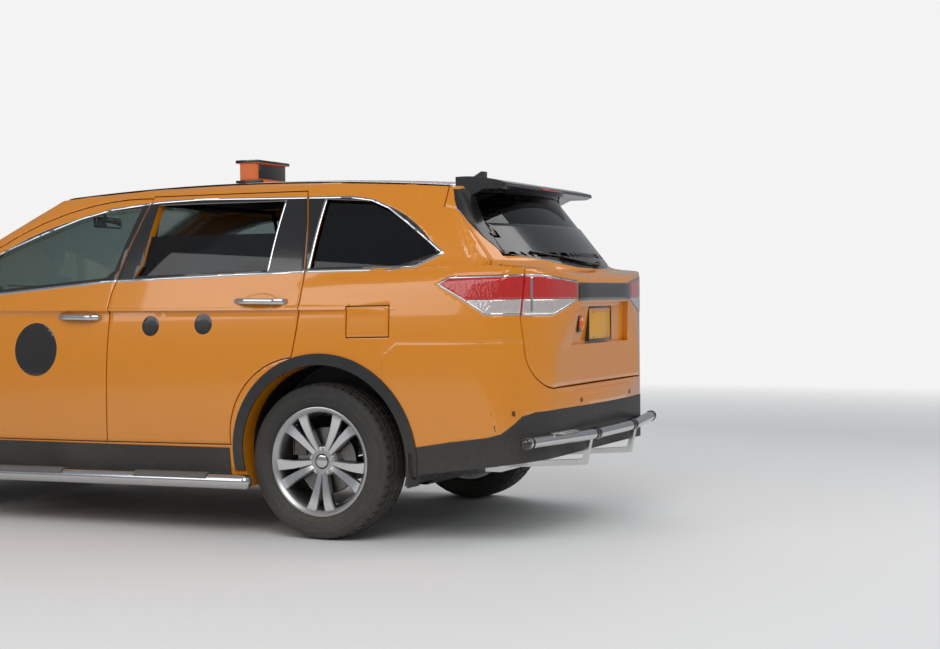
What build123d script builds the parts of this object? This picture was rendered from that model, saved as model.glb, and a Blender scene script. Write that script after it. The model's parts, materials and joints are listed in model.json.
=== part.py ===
from build123d import *
import os
from functools import lru_cache
from math import asin, degrees

os.makedirs("parts", exist_ok=True)

# Millimetres. x runs forward from the rear axle, y to the left, z up from the ground.
wheelbase = 2790
front_overhang = 960
rear_overhang = 1105
bar_reach = 50
body_width = 1925
roof_height = 1745
front_track = 1635
rear_track = 1650

# Wheels and tyres
tyre_radius = 368
tyre_width = 245
rim_radius = 243
rim_width = 214
hub_radius = 78
spindle_radius = 24
spindle_clearance = 0.06
kingpin_inboard = 40
disc_radius = 158
disc_thick = 26

# Body surfaces
widest_height = 750
crease_height = 1172
belt_height = 1240
sash_height = 1160
sill_tuck = 45
crease_tuck = 30
belt_tuck = 62
side_plan_radius = 30000
side_plan_centre = 1350
wedge = 2.6
glass_low_half = 903
glass_high_half = 716
glass_high_height = 1632
upper_plan_radius = 17000
upper_plan_centre = 1100
roof_peak_x = 620
roof_side_radius = 14000
roof_cross_radius = 4600
bonnet_peak_x = 2480
bonnet_peak_height = 1196
bonnet_side_radius = 2900
bonnet_cross_radius = 3300
screen_top = (1660, 1735)
screen_foot = (2742, 1195)
screen_radius = 3400
screen_head_x = 1640
rear_glass_top = (-700, 1690)
rear_glass_foot = (-1048, 1262)
rear_glass_radius = 1550

# Walls, gaps and clearances
lower_wall = 95
upper_wall = 46
glass_thick = 5
shut_gap = 6
door_flange = 34
door_skin = 22
seat_fit = 0.3
plate_hole_y = 177.8
plate_hole_z = 120.7
plate_hole_radius = 3.5
glass_bed = 0.4
arch_radius = 425
cladding_thick = 9
cladding_band = 56

# Shut lines along the side, from the rear axle
door_split_x = 1195
rear_door_back_x = 132
front_door_nose_x = 2240
door_foot = 432
bumper_seam = 930

nose_x = wheelbase + front_overhang
tail_x = -rear_overhang
half_width = body_width / 2
origin_x = (nose_x + tail_x - bar_reach) / 2
front_wheel_y = front_track / 2
rear_wheel_y = rear_track / 2
side_plane = Plane.XZ
section_plane = Plane.YZ
far = 2500


def outline(plane, path):
    """A face from a path of points; a step of two points is an arc through the first to the second."""
    edges = []
    here = path[0]
    for step in path[1:] + [path[0]]:
        if isinstance(step[0], tuple):
            edges.append(ThreePointArc(here, step[0], step[1]))
            here = step[1]
        elif step != here:
            edges.append(Line(here, step))
            here = step
    return plane * make_face(edges)


def across(face, low, high):
    """Extrude a side-view face from y = low to y = high."""
    return Pos(0, low, 0) * extrude(face, amount=high - low, dir=(0, 1, 0))


def block(x0, x1, y0, y1, z0, z1):
    """A box between two corners."""
    return Pos((x0 + x1) / 2, (y0 + y1) / 2, (z0 + z1) / 2) * Box(x1 - x0, y1 - y0, z1 - z0)


def tube(start, end, radius):
    """A round bar between two points."""
    way = Vector(*end) - Vector(*start)
    return Plane(origin=start, z_dir=way) * Cylinder(radius, way.length, align=(Align.CENTER,) * 2 + (Align.MIN,))


def both_sides(shape):
    """A left piece and its mirror image."""
    return shape + mirror(shape, about=Plane.XZ)


def save(node, shape):
    """Write one node, moved so that x = 0 is the middle of the whole length."""
    moved = [Pos(-origin_x, 0, 0) * s for s in shape.solids()]
    export_step(moved[0] if len(moved) == 1 else Compound(children=moved), f"parts/{node}.step")


def largest(shape):
    """The main solid of a cut, without its offcuts."""
    return sorted(shape.solids(), key=lambda s: s.volume)[-1]


def revolved_side(profile, plan_radius, plan_centre, tilt):
    """A side wall: a cross-section swung on a long radius in plan, then tilted nose down."""
    axis_y = -plan_radius
    swing = degrees(asin(2 * far / plan_radius))
    face = Pos(plan_centre, 0, 0) * outline(section_plane, profile)
    axis = Axis((plan_centre, axis_y, 0), (0, 0, 1))
    wall = revolve(face, axis, revolution_arc=2 * swing).rotate(axis, -swing)
    return wall.rotate(Axis((0, 0, crease_height), (0, 1, 0)), tilt)


def lower_side(inset):
    """Left wall of the lower body below the belt, opened to the far side."""
    w = half_width - inset
    profile = [
        (-far / 2, 150),
        (w - sill_tuck - 20, 150),
        (w - sill_tuck, 240),
        ((w - 16, 470), (w, widest_height)),
        ((w - 6, 980), (w - crease_tuck, crease_height)),
        (w - belt_tuck, belt_height),
        (620, 1338),
        (-far / 2, 1345),
    ]
    return revolved_side(profile, side_plan_radius, side_plan_centre, wedge)


def upper_side(inset):
    """Left wall of the glasshouse above the belt."""
    low, high = glass_low_half - inset, glass_high_half - inset
    mid = ((low + high) / 2 + 14, (belt_height + glass_high_height) / 2 - 4)
    profile = [
        (-far / 2, 1080),
        (low + 62, 1080),
        (low, belt_height),
        (mid, (high, glass_high_height)),
        ((high - 22, glass_high_height + 36), (high - 72, glass_high_height + 74)),
        (high - 300, glass_high_height + 190),
        (-far / 2, glass_high_height + 200),
    ]
    return revolved_side(profile, upper_plan_radius, upper_plan_centre, 0)


def under_crown(peak_x, peak_z, side_radius, cross_radius, inset):
    """Everything below a surface that is crowned along and across the car."""
    z = peak_z - inset
    edge = 1200
    drop = edge * edge / (2 * cross_radius)
    low = peak_z - 1300
    profile = [(-edge, low), (edge, low), (edge, z - drop), ((0, z), (-edge, z - drop))]
    face = Pos(peak_x, 0, 0) * outline(section_plane, profile)
    swing = degrees(asin(min(0.95, far / side_radius)))
    axis = Axis((peak_x, 0, peak_z - side_radius), (0, 1, 0))
    return revolve(face, axis, revolution_arc=2 * swing).rotate(axis, -swing)


def behind_glass(top, foot, radius, forward, inset):
    """Everything behind a cylinder that lies along a sloping pane, so that the pane wraps the corners."""
    dx, dz = foot[0] - top[0], foot[1] - top[1]
    length = (dx * dx + dz * dz) ** 0.5
    out = Vector(-dz, 0, dx) / length if forward else Vector(dz, 0, -dx) / length
    centre = Vector((top[0] + foot[0]) / 2, 0, (top[1] + foot[1]) / 2) - out * radius
    return Plane(origin=centre, z_dir=(dx, 0, dz)) * Cylinder(radius - inset, 3 * far)


def plan_prism(inset):
    """Plan view of the body with its bowed nose and tail and their rounded corners."""
    path = [
        (tail_x + 43, -550),
        ((tail_x, 0), (tail_x + 43, 550)),
        ((tail_x + 73, 676), (tail_x + 120, 780)),
        ((tail_x + 199, 856), (tail_x + 303, 890)),
        (tail_x + 545, 1010),
        (nose_x - 700, 1010),
        (nose_x - 560, 914),
        ((nose_x - 421, 886), (nose_x - 300, 811)),
        ((nose_x - 210, 707), (nose_x - 128, 560)),
        ((nose_x, 0), (nose_x - 128, -560)),
        ((nose_x - 210, -707), (nose_x - 300, -811)),
        ((nose_x - 421, -886), (nose_x - 560, -914)),
        (nose_x - 700, -1010),
        (tail_x + 545, -1010),
        (tail_x + 303, -890),
        ((tail_x + 199, -856), (tail_x + 120, -780)),
        ((tail_x + 73, -676), (tail_x + 43, -550)),
    ]
    face = offset(outline(Plane.XY, path), amount=-inset) if inset else outline(Plane.XY, path)
    return extrude(face, amount=2200)


def side_prism(inset):
    """Side view of the lower body: bumpers, tailgate face and nose."""
    path = [
        (tail_x + 60, 480),
        ((tail_x + 8, 560), (tail_x, 640)),
        (tail_x, 686),
        (tail_x + 52, 704),
        (tail_x + 46, 880),
        (tail_x + 20, 1080),
        ((tail_x + 8, 1150), (tail_x + 20, 1225)),
        (tail_x + 44, 1246),
        (tail_x + 110, 1262),
        (-600, 1300),
        (2200, 1420),
        (nose_x - 150, 1420),
        (nose_x - 128, 985),
        ((nose_x - 30, 880), (nose_x, 640)),
        ((nose_x - 20, 420), (nose_x - 90, 236)),
        (-380, 236),
        (-500, 322),
        (-880, 370),
    ]
    face = offset(outline(side_plane, path), amount=-inset) if inset else outline(side_plane, path)
    return across(face, -far / 2, far / 2)


@lru_cache(maxsize=None)
def lower_body(inset):
    """The closed lower body, all faces moved in by inset."""
    wall = lower_side(inset)
    solid = wall & mirror(wall, about=Plane.XZ) & plan_prism(inset) & side_prism(inset)
    crown = under_crown(bonnet_peak_x, bonnet_peak_height, bonnet_side_radius, bonnet_cross_radius, inset)
    return solid & (crown + block(tail_x - 200, bonnet_peak_x - 60, -1200, 1200, 100, 1500))


@lru_cache(maxsize=None)
def upper_body(inset):
    """The closed glasshouse, all faces moved in by inset."""
    wall = upper_side(inset)
    solid = wall & mirror(wall, about=Plane.XZ)
    solid = solid & under_crown(roof_peak_x, roof_height, roof_side_radius, roof_cross_radius, inset)
    solid = solid & behind_glass(screen_top, screen_foot, screen_radius, True, inset)
    solid = solid & behind_glass(rear_glass_top, rear_glass_foot, rear_glass_radius, False, inset)
    return solid & (block(-400, nose_x, -1200, 1200, 1080, 1900) + block(tail_x, -399, -1200, 1200, belt_height, 1900))


@lru_cache(maxsize=None)
def body(inset_low, inset_high):
    """Lower body and glasshouse together."""
    return lower_body(inset_low) + upper_body(inset_high)


def grown(face, amount):
    """A flat outline moved out, or in with a negative amount, with sharp corners kept."""
    return offset(face, amount=amount, kind=Kind.INTERSECTION)


# Side-view outlines
front_door_line = outline(side_plane, [
    (door_split_x + 13, door_foot),
    (door_split_x - 11, sash_height),
    (1082, 1642),
    ((1560, 1590), (1960, 1426)),
    (front_door_nose_x + 14, 1277),
    (front_door_nose_x + 12, 1140),
    (front_door_nose_x, door_foot - 6),
])
rear_door_line = outline(side_plane, [
    (arch_radius + 62, door_foot + 6),
    ((342, 775), (rear_door_back_x + 12, 858)),
    ((rear_door_back_x - 28, 1150), (194, 1652)),
    (1080 - shut_gap, 1652),
    (door_split_x - 11 - shut_gap, sash_height),
    (door_split_x + 13 - shut_gap, door_foot),
])
front_window_line = outline(side_plane, [
    (1196, 1246),
    (1128, 1596),
    ((1560, 1542), (2040, 1344)),
    (2200, 1246),
    (2090, 1176),
])
rear_window_line = outline(side_plane, [
    (302, 1268),
    (292, 1610),
    (1030, 1610),
    (1032, 1300),
    (1060, 1248),
])
quarter_window_line = outline(side_plane, [
    (86, 1276),
    (-375, 1282),
    (-560, 1338),
    ((-470, 1440), (-170, 1596)),
    (78, 1612),
])


def side_cut(face, low=300, high=1200):
    """A side-view outline as a cutter through the left wall."""
    return across(face, low, high)


def front_cut(face, low, high):
    """A front-view outline as a cutter from x = low to x = high."""
    return Pos(low, 0, 0) * extrude(face, amount=high - low, dir=(1, 0, 0))


def plan_cut(face, low, high):
    """A plan-view outline as a cutter from z = low to z = high."""
    return Pos(0, 0, low) * extrude(face, amount=high - low, dir=(0, 0, 1))


def ring(centre_x, centre_z, radius, low, high):
    """A cylinder across the car, used for arches and wheel houses."""
    return Pos(centre_x, (low + high) / 2, centre_z) * Rot(90, 0, 0) * Cylinder(radius, high - low)


seam = 0.8
arch_height = 395
arch_back = 10
roof_half = 602
roof_back = -542
roof_front = 1760
wing_front_x = 3306
bonnet_back_side = 2752
sill_foot = 238
wing_skin = 14
bonnet_thick = 18
buffer_radius = 8
door_buffers = [(1221, 560), (1212, 900), (138, 950), (119, 1160)]
bumper_skin = 18
lamp_deep = 62
lamp_bottom = 1048
floor_thick = 34

outer = body(0, 0)
skin_core = body(door_skin, door_skin)
rabbet_core = body(door_skin + shut_gap, door_skin + shut_gap)
glass_outer = body(16, 16)
glass_inner = body(16 + glass_thick, 16 + glass_thick)
low_outer = lower_body(0)
inner_side = lower_side(lower_wall)
cabin_length = block(-760, 2420, -1000, 1000, 160, belt_height - 40)
cabin_length = cabin_length + block(tail_x + 90, -759, -1000, 1000, 380, belt_height - 40)
cabin_low = inner_side & mirror(inner_side, about=Plane.XZ) & plan_prism(lower_wall) & cabin_length
cabin_high = upper_body(upper_wall) & block(tail_x + 90, 2700, -1000, 1000, 1110, 1900)
cabin = cabin_low + cabin_high
wall = outer - cabin

# Front-view and plan outlines
screen_line = outline(section_plane, [
    (-742, 1080), (742, 1080), (758, 1150), (600, 1716), ((0, 1742), (-600, 1716)), (-758, 1150),
])
tailgate_line = outline(section_plane, [
    (-560, 716), (560, 716), ((704, 756), (774, 866)), (794, 1050), (776, 1236), (772, 1258), (716, 1264),
    (710, 1320), (690, 1482), (roof_half + 38, 1800), (-roof_half - 38, 1800), (-690, 1482), (-710, 1320),
    (-716, 1264), (-772, 1258), (-776, 1236), (-794, 1050), (-774, 866), ((-704, 756), (-560, 716)),
])
tailgate_inner_line = outline(section_plane, [
    (-556, 750), (556, 750), ((680, 782), (740, 870)), (760, 1050), (742, 1226), (682, 1234), (676, 1318),
    (657, 1478), (606, 1766), (-606, 1766), (-657, 1478), (-676, 1318), (-682, 1234), (-742, 1226),
    (-760, 1050), (-740, 870), ((-680, 782), (-556, 750)),
])
rear_screen_line = outline(section_plane, [
    (-640, 1322), (640, 1322), (612, 1482), (545, 1640), (-545, 1640), (-612, 1482),
])
bonnet_line = outline(Plane.XY, [
    (bonnet_back_side, -745), ((2836, 0), (bonnet_back_side, 745)), (3430, 712),
    ((3560, 470), (3622, 0)), ((3560, -470), (3430, -712)),
])
sash_seam = block(-1000, 3000, 300, 1200, sash_height - seat_fit / 2, sash_height + seat_fit / 2)


def door(line, window):
    """A hinged door: outer panel, thinner inner box, window cut through, its sash a piece of its own."""
    hull = side_cut(line)
    panel = (outer & hull) - skin_core
    inner = (skin_core & side_cut(grown(line, -door_flange))) - cabin
    return (panel + inner) - side_cut(window) - sash_seam


def pane(window):
    """Side glass, bedded in its frame behind the outer surface."""
    return (glass_outer & side_cut(grown(window, -glass_bed))) - glass_inner


def mirror_housing():
    """Door mirror on its stalk, at the front corner of the side window."""
    head = Pos(2120, 975, 1175) * Box(110, 190, 150)
    head = fillet(head.edges(), 30)
    stalk = tube((2130, 850, 1120), (2130, 930, 1150), 22)
    return head + stalk


front_door = door(front_door_line, front_window_line)
rear_door = door(rear_door_line, rear_window_line)
front_glass = pane(front_window_line)
rear_glass_line = rear_window_line & outline(side_plane, [(200, 1200), (1200, 1200), (1200, 1450), (200, 1450)])
rear_glass_lowered = pane(rear_glass_line)

tail_zone = block(tail_x - 50, roof_back - shut_gap, -900, 900, 600, 1900)
tail_prism = front_cut(tailgate_line, tail_x - 50, -420)
tail_hole = front_cut(grown(tailgate_line, shut_gap), tail_x - 50, roof_back)
roof_zone = block(roof_back, roof_front, -roof_half, roof_half, 1480, 1900)
screen_prism = front_cut(screen_line, screen_head_x, 2900)
screen_hole = front_cut(grown(screen_line, seam / 2), screen_head_x - seam / 2, 2900)
rear_arch = ring(-arch_back, arch_height, arch_radius + 3, 560, 1100)
front_arch = ring(wheelbase, arch_height, arch_radius + 3, 400, 1100)
bumper_side = outline(side_plane, [(-330, bumper_seam - 60), (-400, bumper_seam), (-1300, bumper_seam),
                                   (-1300, 200), (-330, 200)])
rear_bumper_zone = across(bumper_side, -1100, 1100) - tail_hole
lamp_side_line = outline(side_plane, [(-591, 1191), (-650, 1229), (-1200, 1237), (-1200, lamp_bottom),
                                      (-834, lamp_bottom + 2), (-742, 1108)])
lamp_rear_line = outline(section_plane, [(372, 1112), (372, 1206), (700, 1236), (900, 1236), (900, lamp_bottom),
                                         (600, lamp_bottom - 2)])
lamp_core = lower_body(lamp_deep)
lamp_zone = side_cut(lamp_side_line, 740, 1100) - tail_hole
lamp_pocket = side_cut(grown(lamp_side_line, seam / 2), 700, 1100) - lamp_core
fuel_line = outline(side_plane, [(-362, 956), (-150, 952), (-148, 1092), (-360, 1096)])


def body_side():
    """Left side frame: pillars, cant rail, sill and rear quarter in one ring, with its openings cut."""
    pillar_zone = block(2330, 2800, 300, 1200, 1000, 1900) - lower_body(-0.5)
    solid = wall & (block(-1400, 2330, 300, 1200, 100, 1900) + pillar_zone)
    for line in (front_door_line, rear_door_line):
        solid = solid - (side_cut(grown(line, shut_gap)) - rabbet_core)
        solid = solid - side_cut(grown(line, -door_flange + shut_gap))
    solid = solid - side_cut(quarter_window_line)
    solid = solid - (block(roof_back, roof_front, 0, roof_half + seam, 1480, 1900)) - tail_hole
    solid = solid - screen_hole - block(-1400, roof_back, 0, 500, 100, 1900)
    solid = solid - (rear_bumper_zone - lower_body(bumper_skin + seam / 2))
    wing_lap = block(front_door_nose_x + shut_gap, 2340, 300, 1200, 100, 1500)
    solid = solid - (wing_lap - lower_body(wing_skin + seam / 2))
    solid = solid - rear_arch - lamp_pocket
    solid = solid - (side_cut(grown(fuel_line, 5.5)) - lower_body(40))
    for x, z in door_buffers:
        stop = tube((x, 600, z), (x, 1000, z), buffer_radius) & skin_seat
        solid = solid + (stop - cabin)
    gate_edge = front_cut(grown(tailgate_line, seat_fit), -1100, -420)
    return largest(solid + (tube((-962, 786, 1000), (-962, 806, 1000), 5) - gate_edge))


skin_seat = body(door_skin + seat_fit, door_skin + seat_fit)
side_left = body_side()
wing_zone = block(front_door_nose_x + shut_gap, wing_front_x, 300, 1200, 300, 1300)
front_wing = (low_outer - lower_body(wing_skin)) & wing_zone
front_wing = front_wing - plan_cut(grown(bonnet_line, shut_gap), 900, 1400) - front_arch
front_wing = front_wing - side_cut(grown(front_door_line, shut_gap))
front_wing = front_wing - upper_body(-0.5) - block(2200, bonnet_back_side + 20, 0, 748, 200, 1400)
front_wing = largest(front_wing)
bonnet = ((low_outer - lower_body(bonnet_thick)) & plan_cut(bonnet_line, 860, 1400)) - upper_body(-shut_gap)
bonnet = largest(bonnet)
roof_panel = ((upper_body(0) - upper_body(30)) & roof_zone) - screen_hole
roof_panel = largest(roof_panel)
windscreen = (upper_body(4) - upper_body(4 + 6)) & screen_prism - lower_body(-seam)
windscreen = windscreen & behind_glass(screen_top, screen_foot, screen_radius, True, 3)
windscreen = largest(windscreen)


# Cowl and bulkhead
cowl_skin = (lower_body(0) - lower_body(wing_skin)) & block(2500, 2900, -740, 740, 1000, 1400)
cowl_skin = cowl_skin - plan_cut(grown(bonnet_line, shut_gap), 860, 1400) - upper_body(-seam)
bulkhead_line = outline(side_plane, [(2272, 340), (2292, 340), (2292, 1034), (2866, 1034), (2866, 1052), (2272, 1052)])
bulkhead = across(bulkhead_line, -700, 700)
cowl_ledge = outline(Plane.XY, [(2700, -700), (2750, -700), ((2826, 0), (2750, 700)), (2700, 700), (2700, 690),
                                ((2764, 0), (2700, -690))])
cowl_wall_line = outline(Plane.XY, [(2768, -700), ((2846, 0), (2768, 700)), (2788, 700), ((2866, 0), (2788, -700))])
cowl_wall = plan_cut(cowl_wall_line, 1040, 1200) & lower_body(bonnet_thick + seat_fit)
cowl_skin = cowl_skin + (plan_cut(cowl_ledge, 1040, 1200) & lower_body(4))
bulkhead = largest(bulkhead + cowl_skin + cowl_wall)

# Floor
floor_line = outline(side_plane, [
    (2268, 338), (2268, 338 - floor_thick), (560, 338 - floor_thick), (430, 520), (-960, 520), (-960, 520 + floor_thick),
    (446, 520 + floor_thick), (584, 338)])
floor_pan = across(floor_line, -900, 900) & block(-970, 2268, -900, 900, 200, 900)
fit_side = lower_side(lower_wall + seat_fit)
floor_room = fit_side & mirror(fit_side, about=Plane.XZ) & plan_prism(lower_wall + seat_fit)
tunnel = block(600, 2266, -120, 120, 304, 420) - block(590, 2270, -95, 95, 290, 395)
floor_pan = ((floor_pan - block(590, 2270, -95, 95, 290, 420)) + tunnel) & floor_room
floor_pan = floor_pan - ring(-arch_back, arch_height, arch_radius + 16, 560, 1100)
floor_pan = floor_pan - ring(-arch_back, arch_height, arch_radius + 16, -1100, -560)
floor_pan = largest(floor_pan)

# Tailgate and what it carries
gate_panel = (outer & tail_prism & tail_zone) - skin_core
gate_inner = front_cut(tailgate_inner_line, tail_x - 50, -420) & skin_core & tail_zone
gate_relief = both_sides(block(-872, -500, 708, 800, 1200, 1300))
tailgate = gate_panel + (gate_inner - cabin) - gate_relief - front_cut(rear_screen_line, tail_x - 50, -400)
lamp_rear_zone = front_cut(lamp_rear_line, tail_x - 50, -800)
tail_lamp_rear = (lower_body(0) - lamp_core) & lamp_rear_zone & tail_prism
tailgate = tailgate - both_sides(front_cut(grown(lamp_rear_line, seam / 2), tail_x - 50, -800) - lamp_core)
plate_line = outline(section_plane, [(-396, 904), (396, 904), (332, 1106), (-332, 1106)])
plate_pocket = front_cut(plate_line, tail_x - 50, -400) - lower_body(24)
tailgate = largest(tailgate - plate_pocket)
tail_lamp_rear = both_sides(largest(tail_lamp_rear))
tail_lamp_side = largest((lower_body(0) - lamp_core) & lamp_zone)
tailgate_glass = (upper_body(3) - upper_body(8)) & front_cut(grown(rear_screen_line, -glass_bed), tail_x - 50, -500)
tailgate_glass = largest(tailgate_glass)
spoiler_line = outline(side_plane, [(roof_back - shut_gap, 1702), ((-670, 1698), (-806, 1668)), (-812, 1652),
                                    (-780, 1640), (-690, 1640), (-600, 1600), (roof_back - shut_gap, 1600)])
spoiler = (across(spoiler_line, -566, 566) & block(-830, -548, -566, 566, 1590, 1720)) - upper_body(-seat_fit)
spoiler = largest(spoiler)
plate_holder = largest(block(tail_x + 50, tail_x + 90, -156, 156, 914, 1082) - lower_body(24 - seat_fit))
for y in (-plate_hole_y / 2, plate_hole_y / 2):
    for z in (998 - plate_hole_z / 2, 998 + plate_hole_z / 2):
        screw_hole = tube((tail_x + 40, y, z), (tail_x + 82, y, z), plate_hole_radius)
        plate_holder = plate_holder - screw_hole
        tailgate = tailgate - screw_hole

# Lamps, bumpers and grille at the nose
head_line = outline(side_plane, [(3236, 946), (3330, 792), (3420, 742), (3800, 742), (3800, 905), (3560, 934)])
head_plan = outline(Plane.XY, [(3200, 1000), (3200, 780), (3420, 560), (3800, 500), (3800, 1000)])
head_zone = side_cut(head_line, 480, 1100) & plan_cut(head_plan, 600, 1100)
head_core = lower_body(110)
headlamp = largest(((lower_body(0) - head_core) & head_zone) - plan_cut(grown(bonnet_line, shut_gap), 860, 1400))
front_bumper_zone = block(wing_front_x + seam, 3800, -1100, 1100, 200, 930)
grille_line = outline(section_plane, [(-430, 470), (430, 470), (500, 640), (452, 862), (-452, 862), (-500, 640)])
front_bumper = (low_outer & front_bumper_zone) - lower_body(bumper_skin)
head_hole = side_cut(grown(head_line, seam), 470, 1100) & plan_cut(grown(head_plan, seam), 600, 1100)
front_bumper = front_bumper - both_sides(head_hole)
front_bumper = front_bumper - front_cut(grille_line, 3400, 3900)
front_bumper = front_bumper - plan_cut(grown(bonnet_line, shut_gap), 860, 1400) - both_sides(front_arch)
front_bumper = largest(front_bumper)
front_wing = largest(front_wing - (side_cut(grown(head_line, seam), 470, 1100)))
grille_frame = ((lower_body(8) - lower_body(30)) & front_cut(grown(grille_line, -seam / 2), 3400, 3900))
grille_frame = grille_frame - front_cut(grown(grille_line, -34), 3400, 3900)
grille_bars = [block(3400, 3800, -520, 520, z, z + 22) for z in (530, 590, 650, 710, 770, 826)]
grille = grille_frame
for bar in grille_bars:
    grille = grille + (bar & (lower_body(0) - lower_body(30)) & front_cut(grown(grille_line, -20), 3400, 3900))
grille = largest(grille)

rear_bumper = ((low_outer & rear_bumper_zone) - lower_body(bumper_skin)) - both_sides(lamp_pocket)
rear_bumper = largest(rear_bumper - both_sides(rear_arch))
quarter_glass = pane(quarter_window_line)
fuel_pin = tube((-162, 913.9, 954), (-162, 900.1, 1092), 5)
fuel_door = ((low_outer & side_cut(fuel_line)) - lower_body(5)) + fuel_pin

# Cladding
cladding_room = lower_body(-cladding_thick) - lower_body(-seat_fit)
rear_band = ring(-arch_back, arch_height, arch_radius + cladding_band, 560, 1100) - rear_arch
front_band = ring(wheelbase, arch_height, arch_radius + cladding_band, 560, 1100) - front_arch
above_sill = block(-1400, 4000, 500, 1200, 310, 1000)
rear_cladding = largest(cladding_room & rear_band & above_sill)
front_cladding = largest((cladding_room & front_band & above_sill) - block(3316, 4000, 0, 1200, 0, 2000))
sill_line = outline(side_plane, [(492, sill_foot + 4), (2262, sill_foot + 4), (2262, door_foot - 16),
                                 (492, door_foot - 12)])
sill_cladding = largest(cladding_room & side_cut(sill_line))


def wheel_liner(x, inner_y):
    """Half-round liner over one wheel with its inner wall."""
    outer_ring = ring(x, arch_height, arch_radius + 12, inner_y, 880)
    inner_ring = ring(x, arch_height, arch_radius + 4, inner_y + 8, 900)
    shell = (outer_ring - inner_ring) & block(x - 600, x + 600, 0, 880, 330, 1000)
    return shell - ring(x, 330, 150, 0, inner_y + 30)


liner_room = fit_side & mirror(fit_side, about=Plane.XZ)
rear_liner = largest(wheel_liner(-arch_back, 640) & liner_room)
front_liner = largest(wheel_liner(wheelbase, 470) & liner_room)


def tyre():
    """Tyre as a turned ring with rounded shoulders and a plain tread."""
    half, bead = tyre_width / 2, rim_width / 2
    profile = outline(section_plane, [
        (-bead + 7.4, rim_radius + seat_fit), (-bead + 7.4, rim_radius + 16.4), (-bead, rim_radius + 16.4),
        ((-half, rim_radius + 58), (-half + 14, tyre_radius - 26)),
        ((-half + 22, tyre_radius - 8), (-half + 44, tyre_radius - 1)), ((0, tyre_radius), (half - 44, tyre_radius - 1)),
        ((half - 22, tyre_radius - 8), (half - 14, tyre_radius - 26)),
        ((half, rim_radius + 58), (bead, rim_radius + 16.4)),
        (bead - 7.4, rim_radius + 16.4), (bead - 7.4, rim_radius + seat_fit),
    ])
    return revolve(profile, Axis((0, 0, 0), (0, 1, 0)))


def wheel():
    """Alloy wheel: barrel, hub and five pairs of spokes, with the brake disc on its back."""
    half = rim_width / 2
    barrel = outline(section_plane, [
        (-half, rim_radius - 14), (-half, rim_radius + 16), (-half + 7, rim_radius + 16), (-half + 7, rim_radius),
        (half - 7, rim_radius), (half - 7, rim_radius + 16), (half, rim_radius + 16), (half, rim_radius - 12),
        (half - 20, rim_radius - 24), (half - 60, rim_radius - 30), (-half + 30, rim_radius - 22)])
    shape = revolve(barrel, Axis((0, 0, 0), (0, 1, 0)))
    hub = outline(section_plane, [
        (30, spindle_radius + spindle_clearance), (72, spindle_radius + spindle_clearance), (72, 0), (84, 0),
        (82, 34), (70, hub_radius), (30, hub_radius)])
    shape = shape + revolve(hub, Axis((0, 0, 0), (0, 1, 0)))
    for k in range(5):
        for lean in (-1, 1):
            spoke = outline(section_plane, [(44, hub_radius - 12), (66, hub_radius - 12), (half - 14, rim_radius - 20),
                                            (half - 40, rim_radius - 20)])
            arm = Pos(-15, 0, 0) * extrude(spoke, amount=30, dir=(1, 0, 0))
            arm = Pos(lean * 24, 0, 0) * arm.rotate(Axis.Y, lean * 5)
            shape = shape + arm.rotate(Axis.Y, 180 + 72 * k)
    shape = largest(shape)
    bore = spindle_radius + spindle_clearance
    disc = outline(section_plane, [
        (4, bore), (4, disc_radius), (4 + disc_thick, disc_radius), (4 + disc_thick, hub_radius - 10),
        (31, hub_radius - 10), (31, bore)])
    return largest(shape + revolve(disc, Axis((0, 0, 0), (0, 1, 0))))


def carrier(length):
    """Hub carrier with the spindle that the wheel turns on."""
    spindle = tube((0, -40, 0), (0, 70, 0), spindle_radius)
    boss = tube((0, -length, 0), (0, 0, 0), 62)
    return spindle + boss


tyre_left, wheel_left = tyre(), wheel()
wheel_right, tyre_right = mirror(wheel_left, about=Plane.XZ), mirror(tyre_left, about=Plane.XZ)
places = {
    "front_left": (wheelbase, front_wheel_y), "front_right": (wheelbase, -front_wheel_y),
    "rear_left": (0, rear_wheel_y), "rear_right": (0, -rear_wheel_y),
}
for name, (x, y) in places.items():
    place = Pos(x, y, tyre_radius)
    save("tyre_" + name, place * (tyre_left if y > 0 else tyre_right))
    save("wheel_" + name, place * (wheel_left if y > 0 else wheel_right))

kingpin_y = front_wheel_y - kingpin_inboard
knuckle = Pos(wheelbase, front_wheel_y, tyre_radius) * carrier(70)
knuckle = knuckle + tube((wheelbase, kingpin_y, 230), (wheelbase, kingpin_y, 500), 20)
knuckle = knuckle + tube((wheelbase - 6, kingpin_y - 30, 300), (wheelbase - 130, kingpin_y - 50, 300), 14)
knuckle = knuckle + tube((wheelbase, kingpin_y, 290), (wheelbase, kingpin_y - 30, 300), 18)
front_knuckle = largest(knuckle)

subframe = block(wheelbase - 260, wheelbase + 240, -420, 420, 232, 292)
subframe = subframe - block(wheelbase - 170, wheelbase + 150, -300, 300, 200, 320)
arm = outline(Plane.XY, [(wheelbase - 240, 400), (wheelbase - 160, 400), (wheelbase + 10, 540), (wheelbase + 60, 400),
                         (wheelbase + 140, 400), (wheelbase + 62, 560), (wheelbase + 38, kingpin_y + 20),
                         (wheelbase - 38, kingpin_y + 20), (wheelbase - 62, 600)])
arm = plan_cut(arm, 196, 222) + tube((wheelbase, kingpin_y, 210), (wheelbase, kingpin_y, 230 - seat_fit), 26)
for x in (wheelbase - 240, wheelbase + 70):
    arm = arm + block(x, x + 70, 380, 418, 196, 234)
leg = block(2180, wheelbase - 250, 300, 360, 250, 338 - floor_thick - seat_fit)
front_subframe = subframe + both_sides(arm) + both_sides(leg)
rear_beam = block(-180, 180, -430, 430, 260, 320) - block(-110, 110, -330, 330, 200, 400)
rear_arm = block(-60, 60, 400, 720, 262, 300) + block(-40, 40, 702, 760, 262, 368)
rear_arm = rear_arm + (Pos(0, rear_wheel_y, tyre_radius) * carrier(125))
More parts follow.
